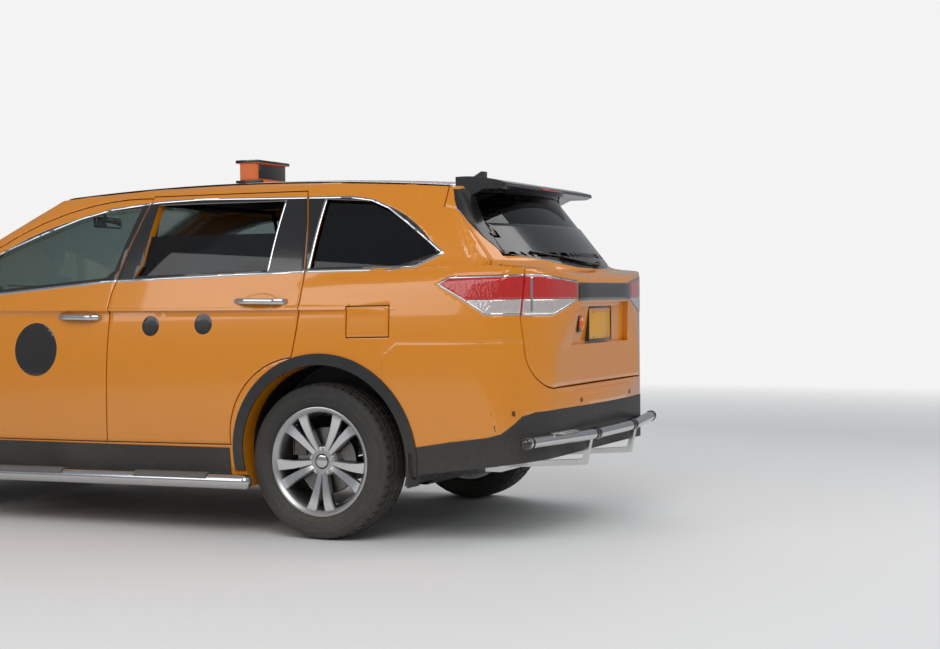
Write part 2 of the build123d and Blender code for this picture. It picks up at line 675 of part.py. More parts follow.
for x in (-150, 110):
    rear_arm = rear_arm + block(x, x + 40, 350, 410, 300, 520 - seat_fit)
rear_axle = largest(rear_beam + both_sides(rear_arm))
engine_block = block(wheelbase + 60 - 300, wheelbase + 60 + 320, -400, 380, 292 + seat_fit, 860)
fuel_tank = fillet(block(600, 1150, -620, -130, 236, 338 - floor_thick - seat_fit).edges(), 20)
pipe_run = FilletPolyline((2240, -60, 262), (440, -60, 262), (240, -60, 446), (-500, -60, 446), radius=120)
muffler = block(-760, -440, -260, 160, 386, 506)
exhaust = fillet(muffler.edges().filter_by(Axis.X), 40)
exhaust = exhaust + sweep(Plane(origin=pipe_run @ 0, z_dir=pipe_run % 0) * Circle(28), path=pipe_run)
for x in (-680, -540):
    exhaust = exhaust + block(x, x + 24, -80, -40, 500, 520 - seat_fit)
exhaust = largest(exhaust)

seat_cushion = fillet(block(1330, 1850, 220, 720, 500, 640).edges(), 40)
seat_back_line = outline(side_plane, [(1330, 600), (1450, 560), (1330, 1180), (1215, 1190)])
seat_back = fillet(across(seat_back_line, 225, 715).edges(), 35)
head_rest = fillet(block(1190, 1280, 340, 600, 1200, 1360).edges(), 30)
seat_foot = block(1400, 1800, 270, 670, 338.3, 520)
front_seat = seat_cushion + seat_back + head_rest + block(1225, 1265, 400, 540, 1150, 1220) + seat_foot
front_seats = both_sides(front_seat)
bench = fillet(block(320, 860, -640, 640, 554 + seat_fit, 690).edges(), 35)
bench_back_line = outline(side_plane, [(320, 640), (450, 610), (330, 1200), (215, 1210)])
bench_back = fillet(across(bench_back_line, -640, 640).edges(), 35)
bench_foot = block(600, 830, -560, 560, 338 + seat_fit, 600) - block(590, 840, -121, 121, 300, 420 + seat_fit)
rear_bench = bench + bench_back + bench_foot
rear_bench = largest(rear_bench)
dash_line = outline(side_plane, [(2190, 700), (2060, 760), ((2020, 900), (2080, 1020)), ((2200, 1080), (2400, 1088)),
                                 (2560, 1066), (2560, 1061), (2272, 1061), (2262, 700)])
dashboard = across(dash_line, -900, 900) & (lower_body(lower_wall + 2) & block(1900, 2600, -900, 900, 200, 1140))
dashboard = largest(dashboard)
column = tube((2080, 370, 930), (1850, 370, 1010), 26)
steering_ring = Plane(origin=(1850, 370, 1010), z_dir=(-0.94, 0, 0.33)) * Torus(180, 15)
steering_spokes = Plane(origin=(1850, 370, 1010), z_dir=(-0.94, 0, 0.33)) * Box(34, 350, 16)
steering_wheel = steering_ring + steering_spokes + column
dashboard = largest(dashboard + steering_wheel)
partition_line = outline(section_plane, [(-560, 1640), (560, 1640), (700, 1200), (700, 700), (-700, 700), (-700, 1200)])
partition = front_cut(partition_line, 1150, 1162) & block(1150, 1162, -700, 700, 700, 1600)
partition_foot = block(1150, 1162, -640, 640, 338 + seat_fit, 720) - block(1140, 1170, -121, 121, 300, 420 + seat_fit)
partition = partition + partition_foot

roof_sign = fillet(block(820, 930, -150, 150, 1762, 1862).edges(), 12) + block(805, 945, -158, 158, 1856, 1872)
roof_sign = roof_sign + block(790, 960, -120, 120, 1735, 1766)
roof_sign = largest(roof_sign - upper_body(-seat_fit))
fin = across(outline(side_plane, [(-310, 1700), (-450, 1690), (-452, 1768), (-430, 1770)]), -14, 14)
roof_antenna = largest(fin - upper_body(-seat_fit))
step_tube = tube((360, 1010, 268), (2150, 1010, 252), 36)
step_arms = [block(x, x + 50, 860, 1010, 262, 286) for x in (520, 1250, 1980)]
side_step = step_tube + Pos(360, 1010, 268) * Sphere(36) + Pos(2150, 1010, 252) * Sphere(36)
for step_arm in step_arms:
    side_step = side_step + step_arm
side_step = largest(side_step - lower_body(-cladding_thick - seat_fit))
bar_half, bar_end_x, bar_mid_x, bar_height, bar_radius = 875, tail_x + 75, tail_x - bar_reach + 26, 480, 26
bar_path = FilletPolyline((bar_end_x, bar_half, bar_height), (bar_mid_x, 300, bar_height), (bar_mid_x, -300, bar_height),
                          (bar_end_x, -bar_half, bar_height), radius=180)
guard_bar = sweep(Plane(origin=bar_path @ 0, z_dir=bar_path % 0) * Circle(bar_radius), path=bar_path)
bracket_line = outline(side_plane, [(bar_mid_x - 8, 480), (bar_mid_x + 8, 480), (bar_mid_x + 40, 362), (-640, 330),
                                    (-640, 304), (bar_mid_x + 24, 336)])
bracket = both_sides(across(bracket_line, 300, 336))
tow_beam = block(-740, -660, -500, 500, 304, 400)
guard_bar = largest((guard_bar + bracket + tow_beam) - lower_body(-seat_fit))

save("floor_pan", floor_pan)
save("body_side_left", side_left)
save("body_side_right", mirror(side_left, about=Plane.XZ))
save("roof_panel", roof_panel)
save("front_wings", both_sides(front_wing))
save("bulkhead", bulkhead)
save("windscreen", windscreen)
save("front_bumper", front_bumper)
save("grille", grille)
save("headlamps", both_sides(headlamp))
save("rear_bumper", rear_bumper)
save("tail_lamps", both_sides(tail_lamp_side))
save("quarter_glass", both_sides(quarter_glass))
save("wheel_arch_cladding", both_sides(rear_cladding) + both_sides(front_cladding))
save("sill_cladding", both_sides(sill_cladding))
save("wheel_liners", both_sides(rear_liner) + both_sides(front_liner))
save("side_steps", both_sides(side_step))
save("rear_guard_bar", guard_bar)
save("roof_sign", roof_sign)
save("roof_antenna", roof_antenna)
save("front_seats", front_seats)
save("rear_bench", rear_bench)
save("dashboard", dashboard)
save("partition", partition)
save("engine_block", engine_block)
save("front_subframe", front_subframe)
save("rear_axle", rear_axle)
save("front_door_left", front_door)
save("front_door_right", mirror(front_door, about=Plane.XZ))
save("rear_door_left", rear_door)
save("rear_door_right", mirror(rear_door, about=Plane.XZ))
save("front_door_glass_left", front_glass)
save("front_door_glass_right", mirror(front_glass, about=Plane.XZ))
save("rear_door_glass_left", rear_glass_lowered)
save("rear_door_glass_right", mirror(pane(rear_window_line), about=Plane.XZ))
door_mirror = mirror_housing() - body(-seat_fit, -seat_fit)
save("door_mirror_left", largest(door_mirror))
save("door_mirror_right", mirror(largest(door_mirror), about=Plane.XZ))
save("tailgate", tailgate)
save("tailgate_glass", tailgate_glass)
save("tailgate_lamps", tail_lamp_rear)
save("spoiler", spoiler)
save("plate_holder", plate_holder)
save("bonnet", bonnet)
save("fuel_door", fuel_door)
save("front_knuckle_left", front_knuckle)
save("front_knuckle_right", mirror(front_knuckle, about=Plane.XZ))
save("exhaust", exhaust)
save("fuel_tank", fuel_tank)
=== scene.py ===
import json
import math
import bmesh
import bpy
import numpy as np
from mathutils import Matrix, Vector

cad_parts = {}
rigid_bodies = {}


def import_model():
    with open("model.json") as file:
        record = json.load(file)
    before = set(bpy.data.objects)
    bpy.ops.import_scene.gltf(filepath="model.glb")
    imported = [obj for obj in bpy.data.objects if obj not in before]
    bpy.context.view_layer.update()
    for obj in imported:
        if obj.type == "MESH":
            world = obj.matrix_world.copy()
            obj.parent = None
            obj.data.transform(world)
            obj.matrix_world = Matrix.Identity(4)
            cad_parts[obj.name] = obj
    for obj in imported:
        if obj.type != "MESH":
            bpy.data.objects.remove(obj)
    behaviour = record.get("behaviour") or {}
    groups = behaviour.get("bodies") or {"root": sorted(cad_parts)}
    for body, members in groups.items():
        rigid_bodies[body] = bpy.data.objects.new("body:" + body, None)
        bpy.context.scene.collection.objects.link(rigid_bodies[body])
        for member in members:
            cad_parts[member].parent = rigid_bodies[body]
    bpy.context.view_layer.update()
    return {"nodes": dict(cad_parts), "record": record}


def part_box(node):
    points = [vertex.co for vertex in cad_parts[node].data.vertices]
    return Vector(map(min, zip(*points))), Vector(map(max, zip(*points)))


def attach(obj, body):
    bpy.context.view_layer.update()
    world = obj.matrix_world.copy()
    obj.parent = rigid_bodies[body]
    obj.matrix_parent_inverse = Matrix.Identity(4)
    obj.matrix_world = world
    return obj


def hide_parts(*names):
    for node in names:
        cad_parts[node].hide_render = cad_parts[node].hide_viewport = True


for spare in list(bpy.data.objects):
    bpy.data.objects.remove(spare)
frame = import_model()

# Camera: at the photograph's place, behind and left of the car at chest height, aimed along the solved angles.
camera_place = (-5.0799, 7.3905, 1.1427)
yaw, pitch, roll = (math.radians(a) for a in (24.8835, -1.0565, -0.5050))
look = Vector((math.sin(yaw) * math.cos(pitch), -math.cos(yaw) * math.cos(pitch), math.sin(pitch)))
level = Vector((-math.cos(yaw), -math.sin(yaw), 0))
up = level.cross(look)
side_way = level * math.cos(roll) + up * math.sin(roll)
up_way = up * math.cos(roll) - level * math.sin(roll)
camera = bpy.data.objects.new("camera", bpy.data.cameras.new("camera"))
camera.data.lens, camera.data.sensor_width = 61.08, 36
camera.matrix_world = Matrix.Translation(camera_place) @ Matrix((side_way, up_way, -look)).transposed().to_4x4()
bpy.context.scene.collection.objects.link(camera)
bpy.context.scene.camera = camera
bpy.context.scene.view_settings.view_transform = "Standard"


# Studio: a pale floor that fades out before its edge, a white surround and four large soft lamps.
def node(tree, kind, sockets=(), **settings):
    """A new shader node with its settings, and constants on the sockets named."""
    made = tree.nodes.new("ShaderNode" + kind)
    for label, value in settings.items():
        setattr(made, label, value)
    for label, value in dict(sockets).items():
        made.inputs[label].default_value = value
    return made


def wire(tree, *pairs):
    """Joins each output to its input."""
    for out, into in pairs:
        tree.links.new(out, into)


floor_reach, fade_start, fade_end = 14, 6.0, 12.0
floor_mesh = bpy.data.meshes.new("floor")
floor_bm = bmesh.new()
bmesh.ops.create_grid(floor_bm, x_segments=1, y_segments=1, size=floor_reach)
floor_bm.to_mesh(floor_mesh)
floor_bm.free()
floor = bpy.data.objects.new("floor", floor_mesh)
bpy.context.scene.collection.objects.link(floor)
floor_paint = bpy.data.materials.new("pale_floor")
floor_paint.use_nodes = True
floor_mesh.materials.append(floor_paint)
floor_tree = floor_paint.node_tree
floor_skin = floor_tree.nodes["Principled BSDF"]
floor_skin.inputs["Base Color"].default_value = (0.80, 0.80, 0.79, 1)
floor_skin.inputs["Roughness"].default_value = 0.7
from_middle = node(floor_tree, "VectorMath", operation="LENGTH")
fade = node(floor_tree, "MapRange", {"From Min": fade_start, "From Max": fade_end})
melt = node(floor_tree, "MixShader")
wire(floor_tree, (node(floor_tree, "TexCoord").outputs["Object"], from_middle.inputs[0]),
     (from_middle.outputs["Value"], fade.inputs["Value"]), (fade.outputs["Result"], melt.inputs["Fac"]),
     (floor_skin.outputs[0], melt.inputs[1]), (node(floor_tree, "BsdfTransparent").outputs[0], melt.inputs[2]),
     (melt.outputs[0], floor_tree.nodes["Material Output"].inputs["Surface"]))

world = bpy.data.worlds.new("studio")
world.use_nodes = True
bpy.context.scene.world = world
sky = world.node_tree.nodes["Background"]
sky.inputs["Color"].default_value = (0.80, 0.84, 0.90, 1)
sky.inputs["Strength"].default_value = 0.36
white = node(world.node_tree, "Background", {"Color": (0.90, 0.90, 0.90, 1)})
seen = node(world.node_tree, "LightPath")
either = node(world.node_tree, "MixShader")
wire(world.node_tree, (seen.outputs["Is Camera Ray"], either.inputs["Fac"]), (sky.outputs[0], either.inputs[1]),
     (white.outputs[0], either.inputs[2]),
     (either.outputs[0], world.node_tree.nodes["World Output"].inputs["Surface"]))
for spot, aim, size, power in (((-4, 7, 7), (0, 0, 0.8), 6.0, 370), ((3, 8, 5), (0, 0, 0.8), 5.0, 150),
                               ((-7, -2, 5), (-1.5, 0, 0.8), 5.0, 190), ((2, -7, 6), (0, 0, 0.8), 5.0, 140)):
    lamp = bpy.data.objects.new("soft_lamp", bpy.data.lights.new("soft_lamp", "AREA"))
    lamp.data.size, lamp.data.energy = size, power
    lamp.location = spot
    lamp.rotation_euler = (Vector(aim) - Vector(spot)).to_track_quat("-Z", "Y").to_euler()
    bpy.context.scene.collection.objects.link(lamp)

# Body shape: millimetres from the rear axle, as the body was drawn, x forward, y left, z up.
# Every pressed panel is laid on this surface, a millimetre or so above the solid under it.
axle_x = 1297.5


def trace(path, step=14.0, closed=True):
    """Points along a path of runs and arcs; an entry of two points is an arc through the first to the second."""
    points = [path[0]]
    for entry in path[1:] + ([path[0]] if closed else []):
        if not isinstance(entry[0], tuple):
            points.append(entry)
            continue
        a, b, c = (complex(*p) for p in (points[-1], entry[0], entry[1]))
        w = (c - a) / (b - a)
        centre = (b - a) * (w - abs(w) ** 2) / (2j * w.imag) + a
        begin, middle, end = (math.atan2((p - centre).imag, (p - centre).real) for p in (a, b, c))
        sweep = (end - begin) % math.tau
        if (middle - begin) % math.tau > sweep:
            sweep -= math.tau
        count = max(2, math.ceil(abs(sweep) * abs(a - centre) / step))
        for k in range(1, count + 1):
            turned_by = begin + sweep * k / count
            p = centre + abs(a - centre) * complex(math.cos(turned_by), math.sin(turned_by))
            points.append((p.real, p.imag))
    while closed and math.dist(points[-1], points[0]) < 0.01:
        points.pop()
    return points


def reading(path):
    """Lets a path be read off at any height: first coordinate from second."""
    line = np.array(sorted(trace(path, 4, closed=False), key=lambda p: p[1]))
    return lambda v: np.interp(v, line[:, 1], line[:, 0])


low_half = reading([(897.5, 150), (917.5, 240), ((946.5, 470), (962.5, 750)), ((956.5, 980), (932.5, 1172)),
                    (900.5, 1240), (620, 1338), (-1250, 1345)])
high_half = reading([(965, 1080), (903, 1240), ((823.5, 1432), (716, 1632)), ((694, 1668), (644, 1706)),
                     (416, 1822)])
tail_profile = reading([(-1045, 480), ((-1097, 560), (-1105, 640)), (-1105, 686), (-1053, 704), (-1059, 880),
                        (-1085, 1080), ((-1097, 1150), (-1085, 1225)), (-1061, 1246), (-995, 1262),
                        (-600, 1300)])
nose_profile = reading([(3660, 236), ((3730, 420), (3750, 640)), ((3720, 880), (3622, 985)), (3600, 1420)])
tail_plan = reading([(-1105, 0), ((-1094.3, 275), (-1062, 550)), ((-1032, 676), (-985, 780)),
                     ((-906, 856), (-802, 890)), (-560, 1010)])
nose_plan = reading([(3750, 0), ((3718.5, 280), (3622, 560)), ((3540, 707), (3450, 811)),
                     ((3329, 886), (3190, 914)), (3050, 1010)])
belt_z, belt_rise = 1172, math.radians(2.6)
low_bow, low_widest_x = 30000, 1350
bonnet_z, bonnet_x, bonnet_across, bonnet_along, bonnet_start = 1196, 2480, 3409, 1704, 2420
high_bow, high_widest_x = 17000, 1100
roof_z, roof_x, roof_across, roof_along = 1745, 620, 4679, 12255
screens = (((1660, 1735), (2742, 1195), 3400, 1), ((-700, 1690), (-1048, 1262), 1550, -1))


def rounded_most(values, width):
    """The largest of several distances, with the corner between them rounded."""
    most = values[0]
    for value in values[1:]:
        mix = np.clip(0.5 + 0.5 * (most - value) / width, 0, 1)
        most = value * (1 - mix) + most * mix + width * mix * (1 - mix)
    return most


def below_belt(x, y, z):
    """How far a point lies outside the lower body."""
    y = np.abs(y)
    c, s = math.cos(belt_rise), math.sin(belt_rise)
    along, height = x * c - (z - belt_z) * s, x * s + (z - belt_z) * c + belt_z
    half = np.sqrt((low_bow + low_half(height)) ** 2 - (along - low_widest_x) ** 2) - low_bow
    across = bonnet_z - bonnet_across + np.sqrt(bonnet_across ** 2 - y ** 2)
    reach = np.clip((across + bonnet_along) ** 2 - (x - bonnet_x) ** 2, 0, None)
    lid = np.where(x > bonnet_start, z - (np.sqrt(reach) - bonnet_along), -900.0)
    return rounded_most([y - half, 0.8 * (tail_plan(y) - x), 0.8 * (x - nose_plan(y)), tail_profile(z) - x,
                         x - nose_profile(z), lid], 3)


def above_belt(x, y, z):
    """How far a point lies outside the glasshouse."""
    y = np.abs(y)
    half = np.sqrt((high_bow + high_half(z)) ** 2 - (x - high_widest_x) ** 2) - high_bow
    across = roof_z - roof_across + np.sqrt(roof_across ** 2 - y ** 2)
    roof = z - (np.sqrt((across + roof_along) ** 2 - (x - roof_x) ** 2) - roof_along)
    panes = []
    for top, foot, radius, way in screens:
        dx, dz = foot[0] - top[0], foot[1] - top[1]
        length = math.hypot(dx, dz)
        ox, oz = -dz / length * way, dx / length * way
        mx, mz = (top[0] + foot[0]) / 2 - ox * radius, (top[1] + foot[1]) / 2 - oz * radius
        panes.append(np.sqrt(((x - mx) * ox + (z - mz) * oz) ** 2 + y ** 2) - radius)
    return np.maximum(rounded_most([y - half, roof] + panes, 4), np.where(x < -400, 1240, 1080) - z)


def whole_body(x, y, z):
    """Outside both the lower body and the glasshouse."""
    return np.minimum(below_belt(x, y, z), above_belt(x, y, z))


def press(bm, way, shape, lift, reach=900):
    """Moves a blank's points along way until they lie lift above the shape."""
    start = np.array([v.co[:] for v in bm.verts])
    way = np.broadcast_to(np.array(way, float), start.shape)
    near, deep = np.zeros(len(start)), np.full(len(start), float(reach))
    for _ in range(24):
        middle = (near + deep) / 2
        p = start + way * middle[:, None]
        out = shape(p[:, 0], p[:, 1], p[:, 2]) > lift
        near, deep = np.where(out, middle, near), np.where(out, deep, middle)
    for v, p in zip(bm.verts, start + way * deep[:, None]):
        v.co = p
    lost = [v for v, d in zip(bm.verts, deep) if d > reach - 1]
    bmesh.ops.delete(bm, geom=lost, context="VERTS")


# Each view's two axes; then, for each side that a blank is drawn from, its view, where it stands off the body,
# the way it is pressed and how far that may go.
views = {"side": (0, 2), "front": (1, 2), "plan": (0, 1)}
from_left, from_above, from_behind, from_ahead = (0, -1, 0), (0, 0, -1), (1, 0, 0), (-1, 0, 0)
drawn_from = {"left": ("side", 1300.0, from_left, 900), "above": ("plan", 2300.0, from_above, 1500),
              "behind": ("front", -1500.0, from_behind, 900), "ahead": ("front", 4200.0, from_ahead, 900)}


def blank(outer, holes, step, view, far):
    """Flat sheet with its holes, cut into a net, standing off the body in one view."""
    bm = bmesh.new()
    a, b = views[view]
    other = 3 - a - b
    for line in [outer] + list(holes):
        corners = []
        for p in line:
            co = [0.0, 0.0, 0.0]
            co[a], co[b], co[other] = p[0], p[1], far
            corners.append(bm.verts.new(co))
        for k, corner in enumerate(corners):
            bm.edges.new((corner, corners[k - 1]))
    bmesh.ops.triangle_fill(bm, use_beauty=True, use_dissolve=False, edges=bm.edges[:])
    bmesh.ops.dissolve_limit(bm, angle_limit=0.02, verts=bm.verts[:], edges=bm.edges[:])
    for axis in (a, b):
        low = min(v.co[axis] for v in bm.verts)
        high = max(v.co[axis] for v in bm.verts)
        for k in range(1, math.ceil((high - low) / step)):
            place, normal = Vector((0, 0, 0)), Vector((0, 0, 0))
            place[axis], normal[axis] = low + k * step + 0.013, 1
            bmesh.ops.bisect_plane(bm, geom=bm.verts[:] + bm.edges[:] + bm.faces[:], dist=0.01,
                                   plane_co=place, plane_no=normal)
    return bm


def holds(line, p, q):
    """True if the point p, q lies within the closed line."""
    inside = False
    for (x0, y0), (x1, y1) in zip(line, line[1:] + line[:1]):
        if (y0 > q) != (y1 > q) and p < (x1 - x0) * (q - y0) / (y1 - y0) + x0:
            inside = not inside
    return inside


def trim(bm, line, view, keep_inside, limit=None):
    """Cuts a pressed sheet along a closed line seen in another view, and drops what isn't kept."""
    a, b = views[view]
    for p, q in zip(line, line[1:] + line[:1]):
        near = []
        normal = Vector((0, 0, 0))
        normal[a], normal[b] = -(q[1] - p[1]), q[0] - p[0]
        place = Vector((0, 0, 0))
        place[a], place[b] = p
        box = (min(p[0], q[0]) - 1, max(p[0], q[0]) + 1, min(p[1], q[1]) - 1, max(p[1], q[1]) + 1)
        for face in bm.faces:
            us, vs = [v.co[a] for v in face.verts], [v.co[b] for v in face.verts]
            if max(us) > box[0] and min(us) < box[1] and max(vs) > box[2] and min(vs) < box[3]:
                if limit is None or limit(face.calc_center_median()):
                    near.append(face)
        edges = {e for f in near for e in f.edges}
        verts = {v for f in near for v in f.verts}
        if near:
            bmesh.ops.bisect_plane(bm, geom=list(verts) + list(edges) + near, dist=0.01, plane_co=place,
                                   plane_no=normal)
    gone = []
    for face in bm.faces:
        middle = face.calc_center_median()
        if (limit is None or limit(middle)) and holds(line, middle[a], middle[b]) != keep_inside:
            gone.append(face)
    bmesh.ops.delete(bm, geom=gone, context="FACES")


def hang(bm, name, body, materials, both=False, angle=38, stands_for=None):
    """Turns millimetres into metres, makes the piece, or its left and right, and hangs it on its body."""
    bmesh.ops.scale(bm, vec=(0.001, 0.001, 0.001), verts=bm.verts[:])
    bmesh.ops.translate(bm, vec=(-axle_x / 1000, 0, 0), verts=bm.verts[:])
    for hand in ("left", "right") if both else ("",):
        if hand == "right":
            bmesh.ops.scale(bm, vec=(1, -1, 1), verts=bm.verts[:])
            bmesh.ops.reverse_faces(bm, faces=bm.faces[:])
        full = name + "_" + hand if hand else name
        mesh = bpy.data.meshes.new(full)
        bm.to_mesh(mesh)
        mesh.shade_smooth()
        mesh.set_sharp_from_angle(angle=math.radians(angle))
        for surface in materials if isinstance(materials, list) else [materials]:
            mesh.materials.append(surface)
        piece = bpy.data.objects.new(full, mesh)
        bpy.context.scene.collection.objects.link(piece)
        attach(piece, body.replace("SIDE", hand) if hand else body)
        if stands_for:
            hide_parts(stands_for)
    bm.free()


def finish_panel(bm, name, body, surface, outward, thick=1.1, both=False, edge=1.6, drop=0.8):
    """Merges, rounds the rim, gives the sheet its thickness, mirrors it and hangs it on its body."""
    longest_inset = 2.5 * edge
    bmesh.ops.remove_doubles(bm, verts=bm.verts[:], dist=0.5)
    bmesh.ops.dissolve_degenerate(bm, dist=0.05, edges=bm.edges[:])
    bmesh.ops.recalc_face_normals(bm, faces=bm.faces[:])
    total = sum((f.normal * f.calc_area() for f in bm.faces), Vector((0, 0, 0)))
    if total.dot(Vector(outward)) < 0:
        bmesh.ops.reverse_faces(bm, faces=bm.faces[:])
    bmesh.ops.inset_region(bm, faces=bm.faces[:], thickness=edge, use_boundary=True, use_even_offset=False)
    bm.normal_update()
    rim = [v for v in bm.verts if v.is_boundary]
    for v in rim:
        for e in v.link_edges:
            inner_end = e.other_vert(v)
            if not inner_end.is_boundary and e.calc_length() > longest_inset:
                inner_end.co = v.co + (inner_end.co - v.co).normalized() * edge
    for v in rim:
        v.co -= v.normal * drop
    bm.normal_update()
    inner = {v: v.co - v.normal * thick for v in bm.verts}
    back = bm.faces[:]
    bmesh.ops.extrude_face_region(bm, geom=back, use_keep_orig=True)
    for v, co in inner.items():
        v.co = co
    bmesh.ops.reverse_faces(bm, faces=back)
    hang(bm, name, body, surface, both, angle=50)


skin_lift = 1.4


def panel(name, body, surface, side, outer, holes=(), cuts=(), shape=whole_body, lift=skin_lift, step=22.0,
          reach=None, outward=None, **more):
    """A sheet drawn from one side, pressed onto the body, cut by lines in other views and finished."""
    view, far, way, usual_reach = drawn_from[side]
    bm = blank(outer, holes, step, view, far)
    press(bm, way, shape, lift, reach or usual_reach)
    for cut in cuts:
        trim(bm, *cut)
    more.setdefault("both", side == "left")
    finish_panel(bm, name, body, surface, outward or [-w for w in way], **more)


def offset_line(line, amount):
    """A closed line moved outwards, or in with a negative amount."""
    area = sum(x0 * y1 - x1 * y0 for (x0, y0), (x1, y1) in zip(line, line[1:] + line[:1]))
    turn = -1 if area > 0 else 1
    moved = []
    for k, (x, y) in enumerate(line):
        (xa, ya), (xb, yb) = line[k - 1], line[(k + 1) % len(line)]
        la, lb = math.hypot(x - xa, y - ya), math.hypot(xb - x, yb - y)
        na = (-(y - ya) / la * turn, (x - xa) / la * turn)
        nb = (-(yb - y) / lb * turn, (xb - x) / lb * turn)
        size = max(0.3, 1 + na[0] * nb[0] + na[1] * nb[1])
        moved.append((x + amount * (na[0] + nb[0]) / size, y + amount * (na[1] + nb[1]) / size))
    return moved


def rectangle(low_a, high_a, low_b, high_b):
    """A closed line round a rectangle."""
    return [(low_a, low_b), (high_a, low_b), (high_a, high_b), (low_a, high_b)]


def oval(a, b, half_a, half_b, count):
    """A closed line round an oval."""
    turns = [math.tau * k / count for k in range(count)]
    return [(a + half_a * math.cos(t), b + half_b * math.sin(t)) for t in turns]


# Taxi-yellow paint over primed steel, with clear coat, road dust low down and a few dull patches.
# The groups below give dust and moulded grain to every other surface too.
def group(name, inputs, outputs):
    """An empty shader group with named sockets."""
    tree = bpy.data.node_groups.new(name, "ShaderNodeTree")
    for label, value in inputs.items():
        socket = tree.interface.new_socket(label, in_out="INPUT", socket_type="NodeSocketFloat")
        socket.default_value = value
    for label in outputs:
        tree.interface.new_socket(label, in_out="OUTPUT", socket_type="NodeSocketFloat")
    return tree, tree.nodes.new("NodeGroupInput"), tree.nodes.new("NodeGroupOutput")


def calc(tree, kind, a, b):
    """A maths node on two sockets or numbers."""
    made = node(tree, "Math", operation=kind)
    for k, value in enumerate((a, b)):
        if isinstance(value, (int, float)):
            made.inputs[k].default_value = value
        else:
            wire(tree, (value, made.inputs[k]))
    return made.outputs[0]


def noise(tree, scale, detail):
    """Noise on Object coordinates."""
    cloud = node(tree, "TexNoise", {"Scale": scale, "Detail": detail, "Roughness": 0.55})
    wire(tree, (node(tree, "TexCoord").outputs["Object"], cloud.inputs["Vector"]))
    return cloud.outputs["Fac"]


dust_tree, dust_in, dust_out = group("road_dust", {"Amount": 0.5, "Top": 0.9, "Foot": 0.25}, ["Mask"])
split = node(dust_tree, "SeparateXYZ")
height_span = node(dust_tree, "MapRange")
wire(dust_tree, (node(dust_tree, "TexCoord").outputs["Object"], split.inputs[0]),
     (split.outputs["Z"], height_span.inputs["Value"]), (dust_in.outputs["Top"], height_span.inputs["From Min"]),
     (dust_in.outputs["Foot"], height_span.inputs["From Max"]))
patches = calc(dust_tree, "MULTIPLY", noise(dust_tree, 3.2, 4), calc(dust_tree, "ADD", noise(dust_tree, 40, 3), 0.5))
low_dust = calc(dust_tree, "MULTIPLY", height_span.outputs["Result"], calc(dust_tree, "MULTIPLY", patches, 0.9))
wire(dust_tree, (calc(dust_tree, "MULTIPLY", low_dust, dust_in.outputs["Amount"]), dust_out.inputs["Mask"]))

grain_tree, grain_in, grain_out = group("moulded_grain", {"Scale": 900.0}, ["Height"])
cells = node(grain_tree, "TexVoronoi", feature="SMOOTH_F1")
wire(grain_tree, (node(grain_tree, "TexCoord").outputs["Object"], cells.inputs["Vector"]),
     (grain_in.outputs["Scale"], cells.inputs["Scale"]), (cells.outputs["Distance"], grain_out.inputs["Height"]))
dust_colour = (0.30, 0.26, 0.21, 1)
grain_reach = 0.002


def material(name, colour, rough, metallic=0.0, coat=0.0, grain=None, grain_depth=0.05, dust=0.0, dust_top=0.9,
             mottle=0.06, mottle_scale=6.0, transmission=0.0, ior=1.5):
    """A surface with its own mottling, grain and dust, built from nodes on Object coordinates."""
    made = bpy.data.materials.new(name)
    made.use_nodes = True
    tree = made.node_tree
    skin = tree.nodes["Principled BSDF"]
    for label, value in (("Metallic", metallic), ("Transmission Weight", transmission), ("IOR", ior),
                         ("Coat Weight", coat), ("Coat Roughness", 0.04)):
        skin.inputs[label].default_value = value
    ramp = node(tree, "Mix", {"A": (*[c * (1 - mottle) for c in colour], 1),
                              "B": (*[min(1.0, c * (1 + mottle)) for c in colour], 1)}, data_type="RGBA")
    wire(tree, (noise(tree, mottle_scale, 5), ramp.inputs["Factor"]))
    shade = ramp.outputs["Result"]
    uneven = calc(tree, "MULTIPLY", noise(tree, mottle_scale * 7, 4), rough * 0.5)
    roughness = calc(tree, "ADD", uneven, rough * 0.75)
    if dust:
        dirt = node(tree, "Group", {"Amount": dust, "Top": dust_top}, node_tree=dust_tree)
        film = node(tree, "Mix", {"B": dust_colour}, data_type="RGBA")
        wire(tree, (dirt.outputs["Mask"], film.inputs["Factor"]), (shade, film.inputs["A"]))
        shade = film.outputs["Result"]
        roughness = calc(tree, "ADD", roughness, calc(tree, "MULTIPLY", dirt.outputs["Mask"], 0.5))
    wire(tree, (shade, skin.inputs["Base Color"]), (roughness, skin.inputs["Roughness"]))
    if grain:
        relief = node(tree, "Group", {"Scale": grain}, node_tree=grain_tree)
        bump = node(tree, "Bump", {"Strength": grain_depth, "Distance": grain_reach})
        wire(tree, (relief.outputs["Height"], bump.inputs["Height"]), (bump.outputs["Normal"], skin.inputs["Normal"]))
    return made


paint = material("taxi_yellow_paint", (0.70, 0.234, 0.0008), 0.24, coat=1.0, dust=0.10, mottle=0.03)

